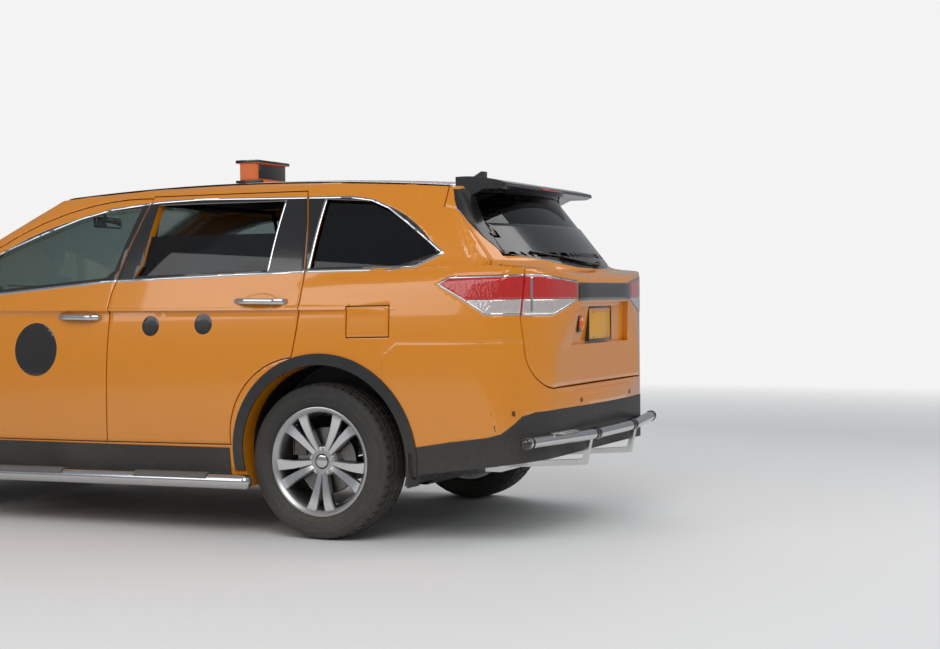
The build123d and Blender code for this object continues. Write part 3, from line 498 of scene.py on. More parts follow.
# Doors: pressed steel outer panels with a turned rim, hung on the pillars, with the window cut out.
# The left ones are drawn and the right ones mirrored. A pressing stops a little inside its solid's edge,
# and the fixed panel beside a moving one stops a shut gap away from it.
edge_inset, shut_gap = -0.6, 6.3
front_door_line = trace([(1208, 432), (1184, 1160), (1082, 1642), ((1560, 1590), (1960, 1426)), (2254, 1277),
                         (2252, 1140), (2240, 426)])
rear_door_line = trace([(487, 438), ((342, 775), (144, 858)), ((104, 1150), (194, 1652)), (1076, 1652), (1178, 1160),
                        (1202, 432)])
front_window = trace([(1196, 1246), (1128, 1596), ((1560, 1542), (2040, 1344)), (2200, 1246), (2090, 1176)])
rear_window = trace([(302, 1268), (292, 1610), (1030, 1610), (1032, 1300), (1060, 1248)])
quarter_window = trace([(86, 1276), (-375, 1282), (-560, 1338), ((-470, 1440), (-170, 1596)), (78, 1612)])
front_door, rear_door = "front_door_SIDE_body", "rear_door_SIDE_body"
doors = {front_door: front_door_line, rear_door: rear_door_line}
windows = [front_window, rear_window, quarter_window]
panel("front_door_panel", front_door, paint, "left", offset_line(front_door_line, edge_inset), [front_window])
panel("rear_door_panel", rear_door, paint, "left", offset_line(rear_door_line, edge_inset), [rear_window])

# Side frame: rear quarter, sill, cant rail and front pillar in one steel pressing each side, welded to the floor.
# It is cut for the doors, the quarter window, the wheel arch, the tail lamp, the fuel door and the screens.
arch_line = trace([(418, 395), ((-10, 823), (-438, 395)), ((-10, -33), (418, 395))], 22)
arch_edge = offset_line(arch_line, 3)
fuel_line = [(-362, 956), (-150, 952), (-148, 1092), (-360, 1096)]
lamp_side_line = [(-591, 1191), (-650, 1229), (-1200, 1237), (-1200, 1048), (-834, 1050), (-742, 1108)]
tailgate_line = trace([(-560, 716), (560, 716), ((704, 756), (774, 866)), (794, 1050), (776, 1236), (772, 1258),
                       (716, 1264), (710, 1320), (690, 1482), (640, 1800), (-640, 1800), (-690, 1482), (-710, 1320),
                       (-716, 1264), (-772, 1258), (-776, 1236), (-794, 1050), (-774, 866),
                       ((-704, 756), (-560, 716))])
frame_line = [(418, 240), (2246, 240), (2246, 1262), (2262, 1270), (2500, 1240), (2742, 1180), (2700, 1260),
              (1760, 1760), (-700, 1760), (-1120, 1300), (-1120, 931), (-400, 931), (-331, 871), (-331, 700),
              (-170, 800), (150, 800), (330, 680), (418, 395)]
screen_line = [(-742, 1080), (742, 1080), (758, 1150), (600, 1716), (0, 1742), (-600, 1716), (-758, 1150)]
rail_line = rectangle(-900, 603, 1480, 1950)
door_cuts = [(offset_line(line, shut_gap), "side", False) for line in doors.values()]
tail_cut = (offset_line(tailgate_line, shut_gap), "front", False, lambda p: p.x < -420)
screen_cut = (offset_line(screen_line, 1), "front", False, lambda p: p.x > 1639)
panel("side_frame_panel", "root", paint, "left", frame_line, [quarter_window], cuts=door_cuts + [
    (arch_edge, "side", False), (offset_line(lamp_side_line, 1.5), "side", False),
    (offset_line(fuel_line, 5.5), "side", False), tail_cut, screen_cut,
    (rail_line, "front", False, lambda p: p.z > 1500)])

# Roof: one crowned steel pressing between the two roof ditches, from the windscreen head to the tailgate.
# It is welded along the ditches, which the black mouldings cover.
roof_line = [(-541, -601), (1690, -601), (1760, 0), (1690, 601), (-541, 601)]
panel("roof_panel_skin", "root", paint, "above", roof_line, cuts=[screen_cut], shape=above_belt, step=26.0)

# Bonnet: a crowned steel pressing hinged under the windscreen, with its front edge rolled over the grille.
bonnet_line = trace([(2752, -745), ((2836, 0), (2752, 745)), (3430, 712), ((3560, 470), (3622, 0)),
                     ((3560, -470), (3430, -712))])
panel("bonnet_panel", "bonnet_body", paint, "above", offset_line(bonnet_line, edge_inset), shape=below_belt,
      step=26.0)

# Front wings: steel pressings bolted to the frame between door, bonnet, headlamp and arch.
wing_line = [(2247, 424), (2420, 424), (2420, 700), (3180, 700), (3305, 560), (3305, 1250), (2247, 1300)]
headlamp_line = [(3236, 946), (3330, 792), (3420, 742), (3800, 742), (3800, 905), (3560, 934)]
front_arch_edge = offset_line([(x + 2800, z) for x, z in arch_line], 3)
panel("front_wing_panel", "root", paint, "left", wing_line, shape=below_belt, cuts=[
    (front_arch_edge, "side", False), door_cuts[0], (offset_line(bonnet_line, shut_gap), "plan", False),
    (offset_line(headlamp_line, 1.2), "side", False)])

# Tailgate: the painted lower half, a steel pressing with the plate recess left open and the lamps let in.
# Under the black glass its upper frame is painted too.
lamp_rear_line = [(372, 1112), (372, 1206), (700, 1236), (900, 1236), (900, 1048), (600, 1046)]
plate_recess = [(-396, 904), (396, 904), (332, 1106), (-332, 1106)]
gate_split_z = 1262
gate_edge = offset_line(tailgate_line, edge_inset)
both_lamps = [lamp_rear_line, [(-y, z) for y, z in lamp_rear_line]]
panel("tailgate_panel", "tailgate_body", paint, "behind", [p for p in gate_edge if p[1] < gate_split_z],
      [plate_recess], cuts=[(offset_line(lamp, 1.2), "front", False) for lamp in both_lamps])

# Rear bumper: one wrap-round moulding, painted above and grained black below, clipped to the body at z 930.
# It is drawn round the tail on a sheet that follows the car's plan.
grained = material("grained_black_plastic", (0.012, 0.012, 0.013), 0.55, grain=700.0, grain_depth=0.28, dust=0.28,
                   dust_top=0.75, mottle=0.25)


def tail_sheet(low, high, way_round, lift, step=20):
    """A net that stands round the tail from one side to the other and is pressed inwards onto the body."""
    round_tail = trace(way_round, 6, closed=False)
    runs = [0.0]
    for p, q in zip(round_tail, round_tail[1:]):
        runs.append(runs[-1] + math.dist(p, q))
    runs, round_tail = np.array(runs), np.array(round_tail)
    bm = bmesh.new()
    across, tall = math.ceil(runs[-1] / step), math.ceil((high - low) / step)
    bmesh.ops.create_grid(bm, x_segments=across, y_segments=tall, size=0.5)
    heading = np.gradient(round_tail, axis=0)
    heading /= np.linalg.norm(heading, axis=1)[:, None]
    ways = []
    for v in bm.verts:
        s, z = (v.co.x + 0.5) * runs[-1], low + (v.co.y + 0.5) * (high - low)
        x, y = np.interp(s, runs, round_tail[:, 0]), np.interp(s, runs, round_tail[:, 1])
        hx, hy = np.interp(s, runs, heading[:, 0]), np.interp(s, runs, heading[:, 1])
        v.co = (x, y, z)
        ways.append((hy, -hx, 0))
    ways = np.array(ways)
    places = np.array([v.co[:] for v in bm.verts])
    if ((places.mean(axis=0) - places) * ways).sum() < 0:
        ways = -ways
    press(bm, ways, below_belt, lift, 560)
    return bm


tail_way = [(-300, 1040), (-640, 1040), ((-1010, 930), (-1175, 560)), ((-1190, 0), (-1175, -560)),
            ((-1010, -930), (-640, -1040)), (-300, -1040)]
corner_x = -978
paint_edge = [(-331, 425), (-492, 448), (-664, 476), (-837, 499), (-902, 517), (-943, 552), (corner_x, 591)]
rear_edge = [(-800, 592), (-723, 609), (-560, 614), (-194, 617), (194, 617), (560, 614), (723, 609), (800, 592)]
painted_zone = [(-331, 871), (-400, 929.5), (-1300, 929.5), (-1300, 300), (-331, 300)]
black_zone = [(-331, 240), (-500, 325), (-880, 373), (-1140, 400), (-1140, 900), (-331, 900)]
for part, low, high, lift, surface, own_cuts in (
        ("painted", 420, 932, skin_lift, paint, [(painted_zone, "side", True), tail_cut]),
        ("black", 318, 640, 3.0, grained, [(black_zone, "side", True)])):
    bm = tail_sheet(low, high, tail_way, lift)
    for cut in own_cuts + [
            (paint_edge + [(corner_x, 200), (-331, 200)], "side", part == "black", lambda p: p.x > corner_x + 1),
            (rear_edge + [(800, 200), (-800, 200)], "front", part == "black", lambda p: p.x < corner_x + 1),
            (arch_edge, "side", False)]:
        trim(bm, *cut)
    finish_panel(bm, "rear_bumper_" + part, "root", surface, (-1, 0, 0), edge=2.5, drop=1.2)

# Window surround: gloss-black door frames and pillars, and the bright strip that runs round all the side windows.
# Each is one band in the drawing, split at the shut lines and fixed to the doors and the frame.
gloss_black = material("gloss_black_paint", (0.006, 0.006, 0.007), 0.16, coat=0.6, dust=0.12, dust_top=1.9,
                       mottle=0.2)
chrome = material("chrome_plate", (0.62, 0.62, 0.63), 0.10, metallic=1.0, dust=0.25, dust_top=1.5, mottle=0.08,
                  mottle_scale=30)
window_line = [(2190, 1182), (2100, 1158), (1931, 1163), (1215, 1221), (137, 1255), (-347, 1258), (-466, 1275),
               (-596, 1338), (-500, 1410), (-389, 1489), (-269, 1568), (-171, 1608), (-47, 1626), (190, 1631),
               (773, 1640), (1027, 1633), (1315, 1604), (1503, 1561), (1710, 1490), (1921, 1411), (2064, 1347),
               (2215, 1262)]


def by_owner(name, outer, holes, lift, surface, door_edge=edge_inset, frame_edge=shut_gap, **more):
    """One side's strip or band, split at the shut lines and hung on each door and on the frame."""
    for owner in (front_door, rear_door, "root"):
        bm = blank(outer, holes, 24.0, "side", 1300.0)
        press(bm, from_left, whole_body, lift)
        if owner in doors:
            trim(bm, offset_line(doors[owner], door_edge), "side", True)
        else:
            for line in doors.values():
                trim(bm, offset_line(line, frame_edge), "side", False)
            ahead = [f for f in bm.faces if f.calc_center_median().x > 600]
            bmesh.ops.delete(bm, geom=ahead, context="FACES")
        finish_panel(bm, name + "_" + owner.split("_")[0], owner, surface, (0, 1, 0), both=True, **more)


by_owner("window_surround", offset_line(window_line, -3), [offset_line(w, -2) for w in windows], 2.9, gloss_black)
by_owner("bright_window_strip", window_line, [offset_line(window_line, -13)], 5.0, chrome, edge=4.0, drop=3.0,
         thick=1.4)
for name, owner, line in (("rear_window_strip", rear_door, [(296, 1264), (306, 1264), (299, 1616), (289, 1616)]),
                          ("quarter_window_strip", "root", [(78, 1272), (92, 1272), (84, 1614), (70, 1614)])):
    panel(name, owner, chrome, "left", line, lift=5.0, edge=3.0, drop=2.5, thick=1.4)

# Roof mouldings: black extruded strips, pushed into the two roof ditches and standing a little proud.
for hand, y in (("left", 1), ("right", -1)):
    panel("roof_moulding_" + hand, "root", gloss_black, "above", rectangle(-548, 1730, 593 * y, 621 * y),
          shape=above_belt, lift=6.5, step=24.0, edge=7.0, drop=4.5, thick=2.0)

# Windscreen border: the black ceramic band fired round the edge of the glass, which hides the glue line.
panel("windscreen_border", "root", gloss_black, "ahead", offset_line(screen_line, -4),
      [offset_line(screen_line, -66)], cuts=[(rectangle(-900, 900, 1178, 1900), "front", True)], lift=2.2, step=24.0,
      reach=2700, edge=2.0, drop=1.0, thick=1.0)

# Tailgate top: black border of the glass, which wraps the corners, over the painted upper frame.
# Both stop at the roof's rear edge, because what lies ahead of the hinge would swing into the roof.
half_black = [(-600, 1700), (-634, 1639), (-663, 1590), (-685, 1547), (-683, 1483), (-668, 1414), (-630, 1334),
              (-498, 1316), (-393, 1301), (-300, 1283), (-198, 1272)]
gate_black = half_black + [(0, 1266)] + [(-y, z) for y, z in reversed(half_black)]
gate_glass = [(-640, 1322), (640, 1322), (612, 1482), (545, 1640), (-545, 1640), (-612, 1482)]
behind_roof = (rectangle(-2000, -549, -900, 900), "plan", True)
panel("tailgate_glass_border", "tailgate_body", gloss_black, "behind", gate_black, [offset_line(gate_glass, -8)],
      cuts=[behind_roof], lift=2.6, reach=1100)
upper_gate = [p for p in gate_edge if p[1] > gate_split_z]
upper_left = sorted([p for p in upper_gate if p[0] > 0], key=lambda p: p[1])
upper_right = sorted([p for p in upper_gate if p[0] < 0], key=lambda p: -p[1])
panel("tailgate_upper_panel", "tailgate_body", paint, "behind", upper_left + upper_right,
      cuts=[(gate_glass, "front", False), behind_roof], lift=1.2, reach=1100)

# Surfaces: every piece that keeps its solid gets its own material here. The bumpers' solids are painted above
# and black below, like the mouldings over them.
rubber = material("tyre_rubber", (0.012, 0.012, 0.012), 0.66, grain=300.0, grain_depth=0.1, dust=0.30, dust_top=0.8,
                  mottle=0.2)
alloy = material("wheel_alloy", (0.50, 0.50, 0.51), 0.24, metallic=1.0, coat=0.5, dust=0.5, mottle=0.1)
underbody = material("underbody_coating", (0.02, 0.02, 0.02), 0.8, grain=220.0, grain_depth=0.4, dust=1.0)
cast = material("cast_metal", (0.10, 0.095, 0.09), 0.6, metallic=0.7, grain=260.0, grain_depth=0.4, dust=0.9,
                mottle=0.3)
pipe = material("exhaust_steel", (0.22, 0.19, 0.16), 0.5, metallic=0.9, dust=0.9, mottle=0.4)
vinyl = material("seat_vinyl", (0.018, 0.018, 0.019), 0.45, grain=520.0, grain_depth=0.35, mottle=0.15)
dash_plastic = material("dashboard_plastic", (0.024, 0.024, 0.025), 0.55, grain=900.0, grain_depth=0.3, mottle=0.15)
clear_glass = material("clear_green_glass", (0.50, 0.60, 0.56), 0.02, transmission=1.0, ior=1.45, mottle=0.01)
dark_glass = material("dark_privacy_glass", (0.06, 0.065, 0.07), 0.02, transmission=1.0, ior=1.45, mottle=0.05)
red_lens = material("red_lamp_lens", (0.55, 0.012, 0.010), 0.06, coat=1.0, mottle=0.1, mottle_scale=60)
clear_sheet = material("clear_polycarbonate", (0.78, 0.80, 0.80), 0.08, transmission=1.0, mottle=0.02)
lamp_clear = material("clear_lamp_face", (0.62, 0.55, 0.53), 0.10, metallic=0.35, coat=1.0, grain=95.0,
                      grain_depth=0.6, mottle=0.2, mottle_scale=40)
amber = material("amber_lamp", (0.75, 0.16, 0.01), 0.12, coat=1.0, grain=160.0, grain_depth=0.4, mottle=0.1)
by_slot = {
    "yellow_paint": paint, "underbody_paint": underbody, "clear_glass": clear_glass, "tinted_glass": dark_glass,
    "lamp_glass": red_lens, "black_plastic": grained, "chrome_tube": chrome, "seat_cover": vinyl,
    "clear_plastic": clear_sheet, "cast_metal": cast, "pipe_steel": pipe, "tyre_rubber": rubber, "alloy": alloy,
}
by_node = {
    "dashboard": dash_plastic, "spoiler": gloss_black, "roof_antenna": gloss_black, "bulkhead": paint,
    "plate_holder": gloss_black, "headlamps": lamp_clear, "roof_sign": amber,
}
for name, black_below in (("rear_bumper", 0.625), ("front_bumper", 0.44)):
    two_tone = paint.copy()
    two_tone.name = name + "_paint_over_black"
    tree = two_tone.node_tree
    shade_in = tree.nodes["Principled BSDF"].inputs["Base Color"]
    spot = node(tree, "SeparateXYZ")
    pick = node(tree, "Mix", {"A": (0.012, 0.012, 0.013, 1)}, data_type="RGBA")
    wire(tree, (node(tree, "TexCoord").outputs["Object"], spot.inputs[0]),
         (calc(tree, "GREATER_THAN", spot.outputs["Z"], black_below), pick.inputs["Factor"]),
         (shade_in.links[0].from_socket, pick.inputs["B"]), (pick.outputs["Result"], shade_in))
    by_node[name] = two_tone
for part in frame["record"]["subparts"]:
    for holder in frame["nodes"][part["node"]].material_slots:
        holder.link = "OBJECT"
        holder.material = by_node.get(part["node"], by_slot[part["material_slot"]])

# Wheels: cast alloy, five pairs of flat spokes with machined faces, centre cap, lug nuts, valve and brake disc.
# Tyres: black rubber with four grooves, cut shoulder blocks and ribbed side walls.
machined = material("machined_alloy", (0.66, 0.66, 0.67), 0.16, metallic=1.0, coat=0.4, dust=0.10, mottle=0.08)
disc_steel = material("brake_disc_steel", (0.20, 0.19, 0.18), 0.35, metallic=1.0, mottle=0.3, mottle_scale=20)
rim_profile = [(100, 258.5), (106, 257.5), (107.5, 253), (107, 247), (103, 242), (98, 236), (93, 231), (70, 222),
               (40, 213), (-20, 213), (-77, 218), (-104, 228), (-107, 245), (-107, 258), (-100, 258.5), (-99, 243),
               (-60, 240), (-20, 231), (30, 231), (80, 240), (99, 243)]
hub_profile = [(30, 40), (30, 76), (62, 76), (73, 68), (77, 54), (77, 36), (66, 32)]
cap_profile = [(66, 0.01), (66, 31), (77, 31.5), (81, 29), (83.5, 20), (84, 0.01)]
disc_profile = [(4, 40), (4, 157), (12, 157), (12, 140), (22, 140), (22, 157), (30, 157), (30, 40)]
# One row for each station of a spoke: radius, half angle to its twin, width, face and depth.
spoke_rows = ((44, 13.0, 20, 74, 34), (62, 12.0, 27, 78, 36), (100, 10.6, 34, 84, 36), (150, 10.4, 42, 90, 34),
              (200, 11.4, 50, 94, 30), (228, 12.4, 56, 95, 26), (240, 12.9, 60, 94, 20))
tread = [(0, 368), (20, 367.8), (21, 360), (29, 360), (30, 367.4), (57, 366.4), (58, 359.5), (66, 359.5),
         (67, 365.8), (84, 363.3), (97, 358.3), (104, 352), (109, 343), (114, 333), (116.5, 331), (117, 327),
         (119.5, 318), (122.3, 303), (122, 292), (120.8, 290), (120.8, 286), (121.6, 284), (119, 272), (114, 266),
         (109, 262), (107.2, 259.6), (99.8, 259.6), (99.8, 243.4)]
tyre_profile = tread + [(-y, r) for y, r in reversed(tread[1:])]
tread_blocks, lug_circle, valve_turn = 150, 57, 0.63
wheel_z, front_axle_x, front_wheel_y, rear_wheel_y = 368, 2790, 817.5, 825


def turned(bm, profile, steps, slot=0):
    """Spins a closed profile of (along the axle, radius) round the axle line."""
    ring = [bm.verts.new((0, y, r)) for y, r in profile]
    edges = [bm.edges.new((p, q)) for p, q in zip(ring, ring[1:] + ring[:1])]
    old = set(bm.faces)
    bmesh.ops.spin(bm, geom=ring + edges, cent=(0, 0, 0), axis=(0, 1, 0), angle=math.tau, steps=steps, use_merge=True)
    for face in bm.faces:
        if face not in old:
            face.material_index = slot


def loft(bm, rings, slot=0):
    """A closed skin through rings of points."""
    rows = [[bm.verts.new(p) for p in ring] for ring in rings]
    made = []
    for a, b in zip(rows, rows[1:]):
        for k in range(len(a)):
            made.append(bm.faces.new((a[k - 1], a[k], b[k], b[k - 1])))
    made += [bm.faces.new(rows[0]), bm.faces.new(list(reversed(rows[-1])))]
    for face in made:
        face.material_index = slot
    return made


def rod(bm, p, q, radius, end=None, sides=24, slot=0):
    """A round bar from p to q, tapered to radius end."""
    p, q = Vector(p), Vector(q)
    place = Matrix.Translation((p + q) / 2) @ (q - p).to_track_quat("Z", "Y").to_matrix().to_4x4()
    old = set(bm.faces)
    bmesh.ops.create_cone(bm, cap_ends=True, segments=sides, radius1=radius, radius2=radius if end is None else end,
                          depth=(q - p).length, matrix=place)
    for face in bm.faces:
        if face not in old:
            face.material_index = slot


def draw_wheel(bm):
    """One wheel about its own centre, outer face towards +y."""
    turned(bm, rim_profile, 120)
    turned(bm, hub_profile, 60)
    turned(bm, cap_profile, 48, 3)
    turned(bm, disc_profile, 72, 2)
    for k in range(5):
        base = math.radians(180 + 72 * k)
        for lean in (-1, 1):
            rings = []
            for r, spread, wide, face, deep in spoke_rows:
                angle = base + lean * math.radians(spread)
                out = Vector((math.sin(angle), 0, math.cos(angle)))
                side = Vector((math.cos(angle), 0, -math.sin(angle))) * lean
                ring = [(-wide / 2 + 3, face - 1), (wide / 2 - 5, face + 1.5), (wide / 2, face - 5),
                        (wide / 2 - 2, face - deep), (-wide / 2 + 3, face - deep), (-wide / 2, face - 7)]
                rings.append([out * r + side * across + Vector((0, along, 0)) for across, along in ring])
            for face in loft(bm, rings):
                if face.calc_center_median().y > 70 and len(face.verts) == 4:
                    face.normal_update()
                    if abs(face.normal.y) > 0.9:
                        face.material_index = 1
        lug = base + math.radians(36)
        centre = Vector((math.sin(lug) * lug_circle, 0, math.cos(lug) * lug_circle))
        rod(bm, centre + Vector((0, 60, 0)), centre + Vector((0, 80, 0)), 10.5, 9.5, 6, 3)
        rod(bm, centre + Vector((0, 76, 0)), centre + Vector((0, 84, 0)), 8, 5.5, 16, 3)
    across, over = math.sin(valve_turn), math.cos(valve_turn)
    rod(bm, (215 * across, 60, 215 * over), (209 * across, 96, 209 * over), 4, 3.4, 14, 2)


def draw_tyre(bm):
    """One tyre about its own centre."""
    turned(bm, tyre_profile, tread_blocks)
    bmesh.ops.recalc_face_normals(bm, faces=bm.faces[:])
    shoulder, sipes = [], []
    for face in bm.faces:
        middle = face.calc_center_median()
        count = round((math.atan2(middle.x, middle.z) % math.tau) / math.tau * tread_blocks - 0.5)
        if 67 < abs(middle.y) < 97 and count % 3 == 0 and middle.xz.length > 355:
            shoulder.append(face)
        elif abs(middle.y) < 57 and count % 3 == 1 and middle.xz.length > 365:
            sipes.append(face)
    bmesh.ops.inset_region(bm, faces=shoulder, thickness=1.2, depth=-5.0)
    bmesh.ops.inset_individual(bm, faces=sipes, thickness=5.0, depth=-4.0)


for corner, x, y in (("front_left", front_axle_x, front_wheel_y), ("front_right", front_axle_x, -front_wheel_y),
                     ("rear_left", 0, rear_wheel_y), ("rear_right", 0, -rear_wheel_y)):
    for kind, draw, made_of in (("wheel", draw_wheel, [alloy, machined, disc_steel, chrome]),
                                ("tyre", draw_tyre, rubber)):
        bm = bmesh.new()
        draw(bm)
        bmesh.ops.remove_doubles(bm, verts=bm.verts[:], dist=0.02)
        if y < 0:
            bmesh.ops.scale(bm, vec=(1, -1, 1), verts=bm.verts[:])
        bmesh.ops.recalc_face_normals(bm, faces=bm.faces[:])
        bmesh.ops.translate(bm, vec=(x, y, wheel_z), verts=bm.verts[:])
        hang(bm, "road_" + kind + "_" + corner, "road_wheel_" + corner, made_of, stands_for=kind + "_" + corner,
             angle=30)

# Tail lamps: one on each rear quarter and one on each end of the tailgate, in line when it is shut.
# A bright surround holds a red upper and a clear lower lens, with facets moulded behind the faces.
lamp_red = material("red_lamp_face", (0.50, 0.010, 0.008), 0.07, coat=1.0, grain=95.0, grain_depth=0.5, mottle=0.25,
                    mottle_scale=40)
gate_cut = (offset_line(tailgate_line, -0.8), "front", True)
for kind, band, lift, surface in (("surround", None, 2.6, chrome), ("red", (1124, 1400), 3.4, lamp_red),
                                  ("clear", (900, 1121), 3.2, lamp_clear)):
    for place, line, side, own_cut, owner in (("side", lamp_side_line, "left", tail_cut, "root"),
                                              ("gate", lamp_rear_line, "behind", gate_cut, "tailgate_body")):
        inner = offset_line(line, -10)
        outer, holes, cuts = offset_line(line, -0.8), [inner], [own_cut]
        if band:
            outer, holes = inner, []
            cuts.append((rectangle(-1400, 1400, *band), drawn_from[side][0], True))
        panel("lamp_" + place + "_" + kind, owner, surface, side, outer, holes, cuts, below_belt, lift, 11.0,
              drop=1.2, both=True)
panel("lamp_divider", "tailgate_body", chrome, "behind", [(740, 1058), (752, 1058), (750, 1222), (738, 1222)],
      shape=below_belt, lift=4.4, step=11.0, drop=1.0, both=True)


# Tailgate fittings: gloss-black garnish strip between the lamps, and a wiper on the glass with a rubber blade.
# Below them the blank yellow plate sits in its screwed black frame, beside an amber warning lamp.
def slab(bm, low, high, bevel=0.0, slot=0, segments=2):
    """A box between two corners, with rounded edges."""
    middle = [(a + b) / 2 for a, b in zip(low, high)]
    size = [b - a for a, b in zip(low, high)]
    old = set(bm.faces)
    place = Matrix.Translation(middle) @ Matrix.Diagonal((*size, 1))
    corners = bmesh.ops.create_cube(bm, size=1, matrix=place)["verts"]
    if bevel:
        bmesh.ops.bevel(bm, geom=list({e for v in corners for e in v.link_edges}), offset=bevel, segments=segments,
                        profile=0.5, affect="EDGES", material=-1)
    for face in bm.faces:
        if face not in old:
            face.material_index = slot


def ball(bm, place, radii, around=40, along=20):
    """An ellipsoid with a radius in each direction."""
    matrix = Matrix.Translation(place) @ Matrix.Diagonal((*radii, 1))
    bmesh.ops.create_uvsphere(bm, u_segments=around, v_segments=along, radius=1, matrix=matrix)


def hose(bm, path, wide, tall, sides, slot=0):
    """An oval section carried along points."""
    rings = []
    for k, p in enumerate(path):
        along = (Vector(path[min(k + 1, len(path) - 1)]) - Vector(path[max(k - 1, 0)])).normalized()
        across = along.cross(Vector((0, 0, 1)) if abs(along.z) < 0.9 else Vector((1, 0, 0))).normalized()
        over = across.cross(along)
        turns = [math.tau * s / sides for s in range(sides)]
        rings.append([Vector(p) + across * wide * math.cos(t) + over * tall * math.sin(t) for t in turns])
    loft(bm, rings, slot)


def laid(points, way, shape, lift):
    """Points moved along way onto the body."""
    bm = bmesh.new()
    for p in points:
        bm.verts.new(p)
    press(bm, way, shape, lift)
    found = [v.co.copy() for v in bm.verts]
    bm.free()
    return found


panel("garnish_strip", "tailgate_body", gloss_black, "behind", rectangle(-366, 366, 1112, 1198), shape=below_belt,
      lift=5.0, edge=4, drop=3.2, thick=2)
plate_paint = material("plate_yellow", (0.72, 0.33, 0.01), 0.35, coat=0.3, dust=0.3, dust_top=1.4, mottle=0.12)
plate_x = (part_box("plate_holder")[0][0] * 1000) + axle_x
bm = bmesh.new()
slab(bm, (plate_x - 2.5, -152, 922), (plate_x - 0.3, 152, 1074), 1.0)
for y0, y1, z0, z1 in ((-146, 146, 928, 931), (-146, 146, 1065, 1068), (-146, -143, 931, 1065), (143, 146, 931, 1065)):
    slab(bm, (plate_x - 4.0, y0, z0), (plate_x - 2.0, y1, z1), 1.0)
for y0, y1, z0, z1 in ((-160, 160, 1072, 1084), (-160, 160, 912, 924), (-160, -150, 922, 1074), (150, 160, 922, 1074)):
    slab(bm, (plate_x - 7, y0, z0), (plate_x - 0.3, y1, z1), 2.5, 1)
for y in (-88.9, 88.9):
    for z in (937.65, 1058.35):
        rod(bm, (plate_x, y, z), (plate_x - 6, y, z), 8, 6.5, 20, 2)
        slab(bm, (plate_x - 6.6, y - 5, z - 0.8), (plate_x - 5.4, y + 5, z + 0.8), 0.0, 1)
hang(bm, "number_plate_blank", "tailgate_body", [plate_paint, gloss_black, chrome])
bm = bmesh.new()
ball(bm, (plate_x - 2, 262, 1001), (20, 22, 36), 32, 20)
slab(bm, (plate_x - 4, 236, 962), (plate_x + 12, 288, 1040), 4.0, 1)
hang(bm, "warning_lamp", "tailgate_body", [amber, gloss_black])
bm = bmesh.new()
pivot, elbow, tip = laid([(-1500, -10, 1288), (-1500, 120, 1300), (-1500, 300, 1322)], from_behind, above_belt, 16)
rod(bm, pivot + Vector((26, 0, -6)), pivot + Vector((-8, 0, 4)), 19, 15, 32)
hose(bm, [pivot, elbow, tip], 10, 5, 12)
blade = laid([(-1500, 80 + 22 * k, 1297 + 2.7 * k) for k in range(19)], from_behind, above_belt, 6)
hose(bm, blade, 7, 4, 10)
hang(bm, "rear_wiper", "tailgate_body", gloss_black)

# Door handles: bright bar over a black grip, bolted to each door through two feet.
# Behind each, a thin oval ring in the door's paint stands a little off the door, where the cup would be.
handle_steps, handle_rise = 18, 31
for name, owner, low, high, z in (("front", front_door, 1246, 1486, 1046), ("rear", rear_door, 176, 436, 1119)):
    bm = bmesh.new()
    seat = laid([(low + (high - low) * k / handle_steps, 1300, z + 4 * k / handle_steps)
                 for k in range(handle_steps + 1)], from_left, whole_body, 1.0)
    bar = []
    for k, p in enumerate(seat):
        rise = handle_rise * min(1.0, (min(k, handle_steps - k) / handle_steps * 5.2)) ** 0.6
        bar.append(p + Vector((0, rise, 0)))
    hose(bm, bar, 7.5, 14, 20)
    hose(bm, [p + Vector((0, -4, -9)) for p in bar[2:-2]], 6, 8, 14, 1)
    for foot in (seat[0], seat[-1]):
        rod(bm, foot + Vector((0, -4, 0)), foot + Vector((0, 12, 0)), 15, 12, 24)
    hang(bm, name + "_door_handle", owner, [chrome, gloss_black], both=True)
    cup = oval(low + 132, z + 4, 92, 38, 40)
    panel(name + "_handle_cup", owner, paint, "left", cup, [offset_line(cup, -5)], lift=3.0, step=12.0, edge=1.8,
          drop=1.4)

# Fuel door, a small steel pressing on a pin at its front edge, and the plain black vinyl discs on the doors.
panel("fuel_door_panel", "fuel_door_body", paint, "left", offset_line(fuel_line, -1.6), both=False)
for name, owner, x, z, radius in (("front", front_door, 1640, 885, 135), ("rear_a", rear_door, 934, 1005, 50),
                                  ("rear_b", rear_door, 629, 1014, 50)):
    panel("plain_disc_" + name, owner, gloss_black, "left", oval(x, z, radius, radius, 72), lift=1.9, edge=0.8,
          drop=0.2, thick=0.4)

# Side steps: grey ribbed rubber pads clipped over each bright tube, which falls a little towards the front.
pad_rubber = material("grey_pad_rubber", (0.09, 0.09, 0.09), 0.7, grain=420.0, grain_depth=0.5, dust=0.5,
                      dust_top=0.6, mottle=0.15)
step_y, rib_pitch = 1010, 7
bm = bmesh.new()
for start, end in ((560, 980), (1420, 1900)):
    rings = []
    steps = int((end - start) / rib_pitch)
    for k in range(steps + 1):
        x = start + (end - start) * k / steps
        z = 268 - 16 * (x - 360) / 1790
        radius = 40.5 if k % 2 else 42.0
        arc = [math.radians(24 + 132 * s / 14) for s in range(15)]
        rings.append([(x, step_y + radius * math.cos(a), z + radius * math.sin(a)) for a in arc]
                     + [(x, step_y + 36.5 * math.cos(a), z + 36.5 * math.sin(a)) for a in reversed(arc)])
    loft(bm, rings)
bmesh.ops.recalc_face_normals(bm, faces=bm.faces[:])
hang(bm, "step_pads", "root", pad_rubber, both=True)

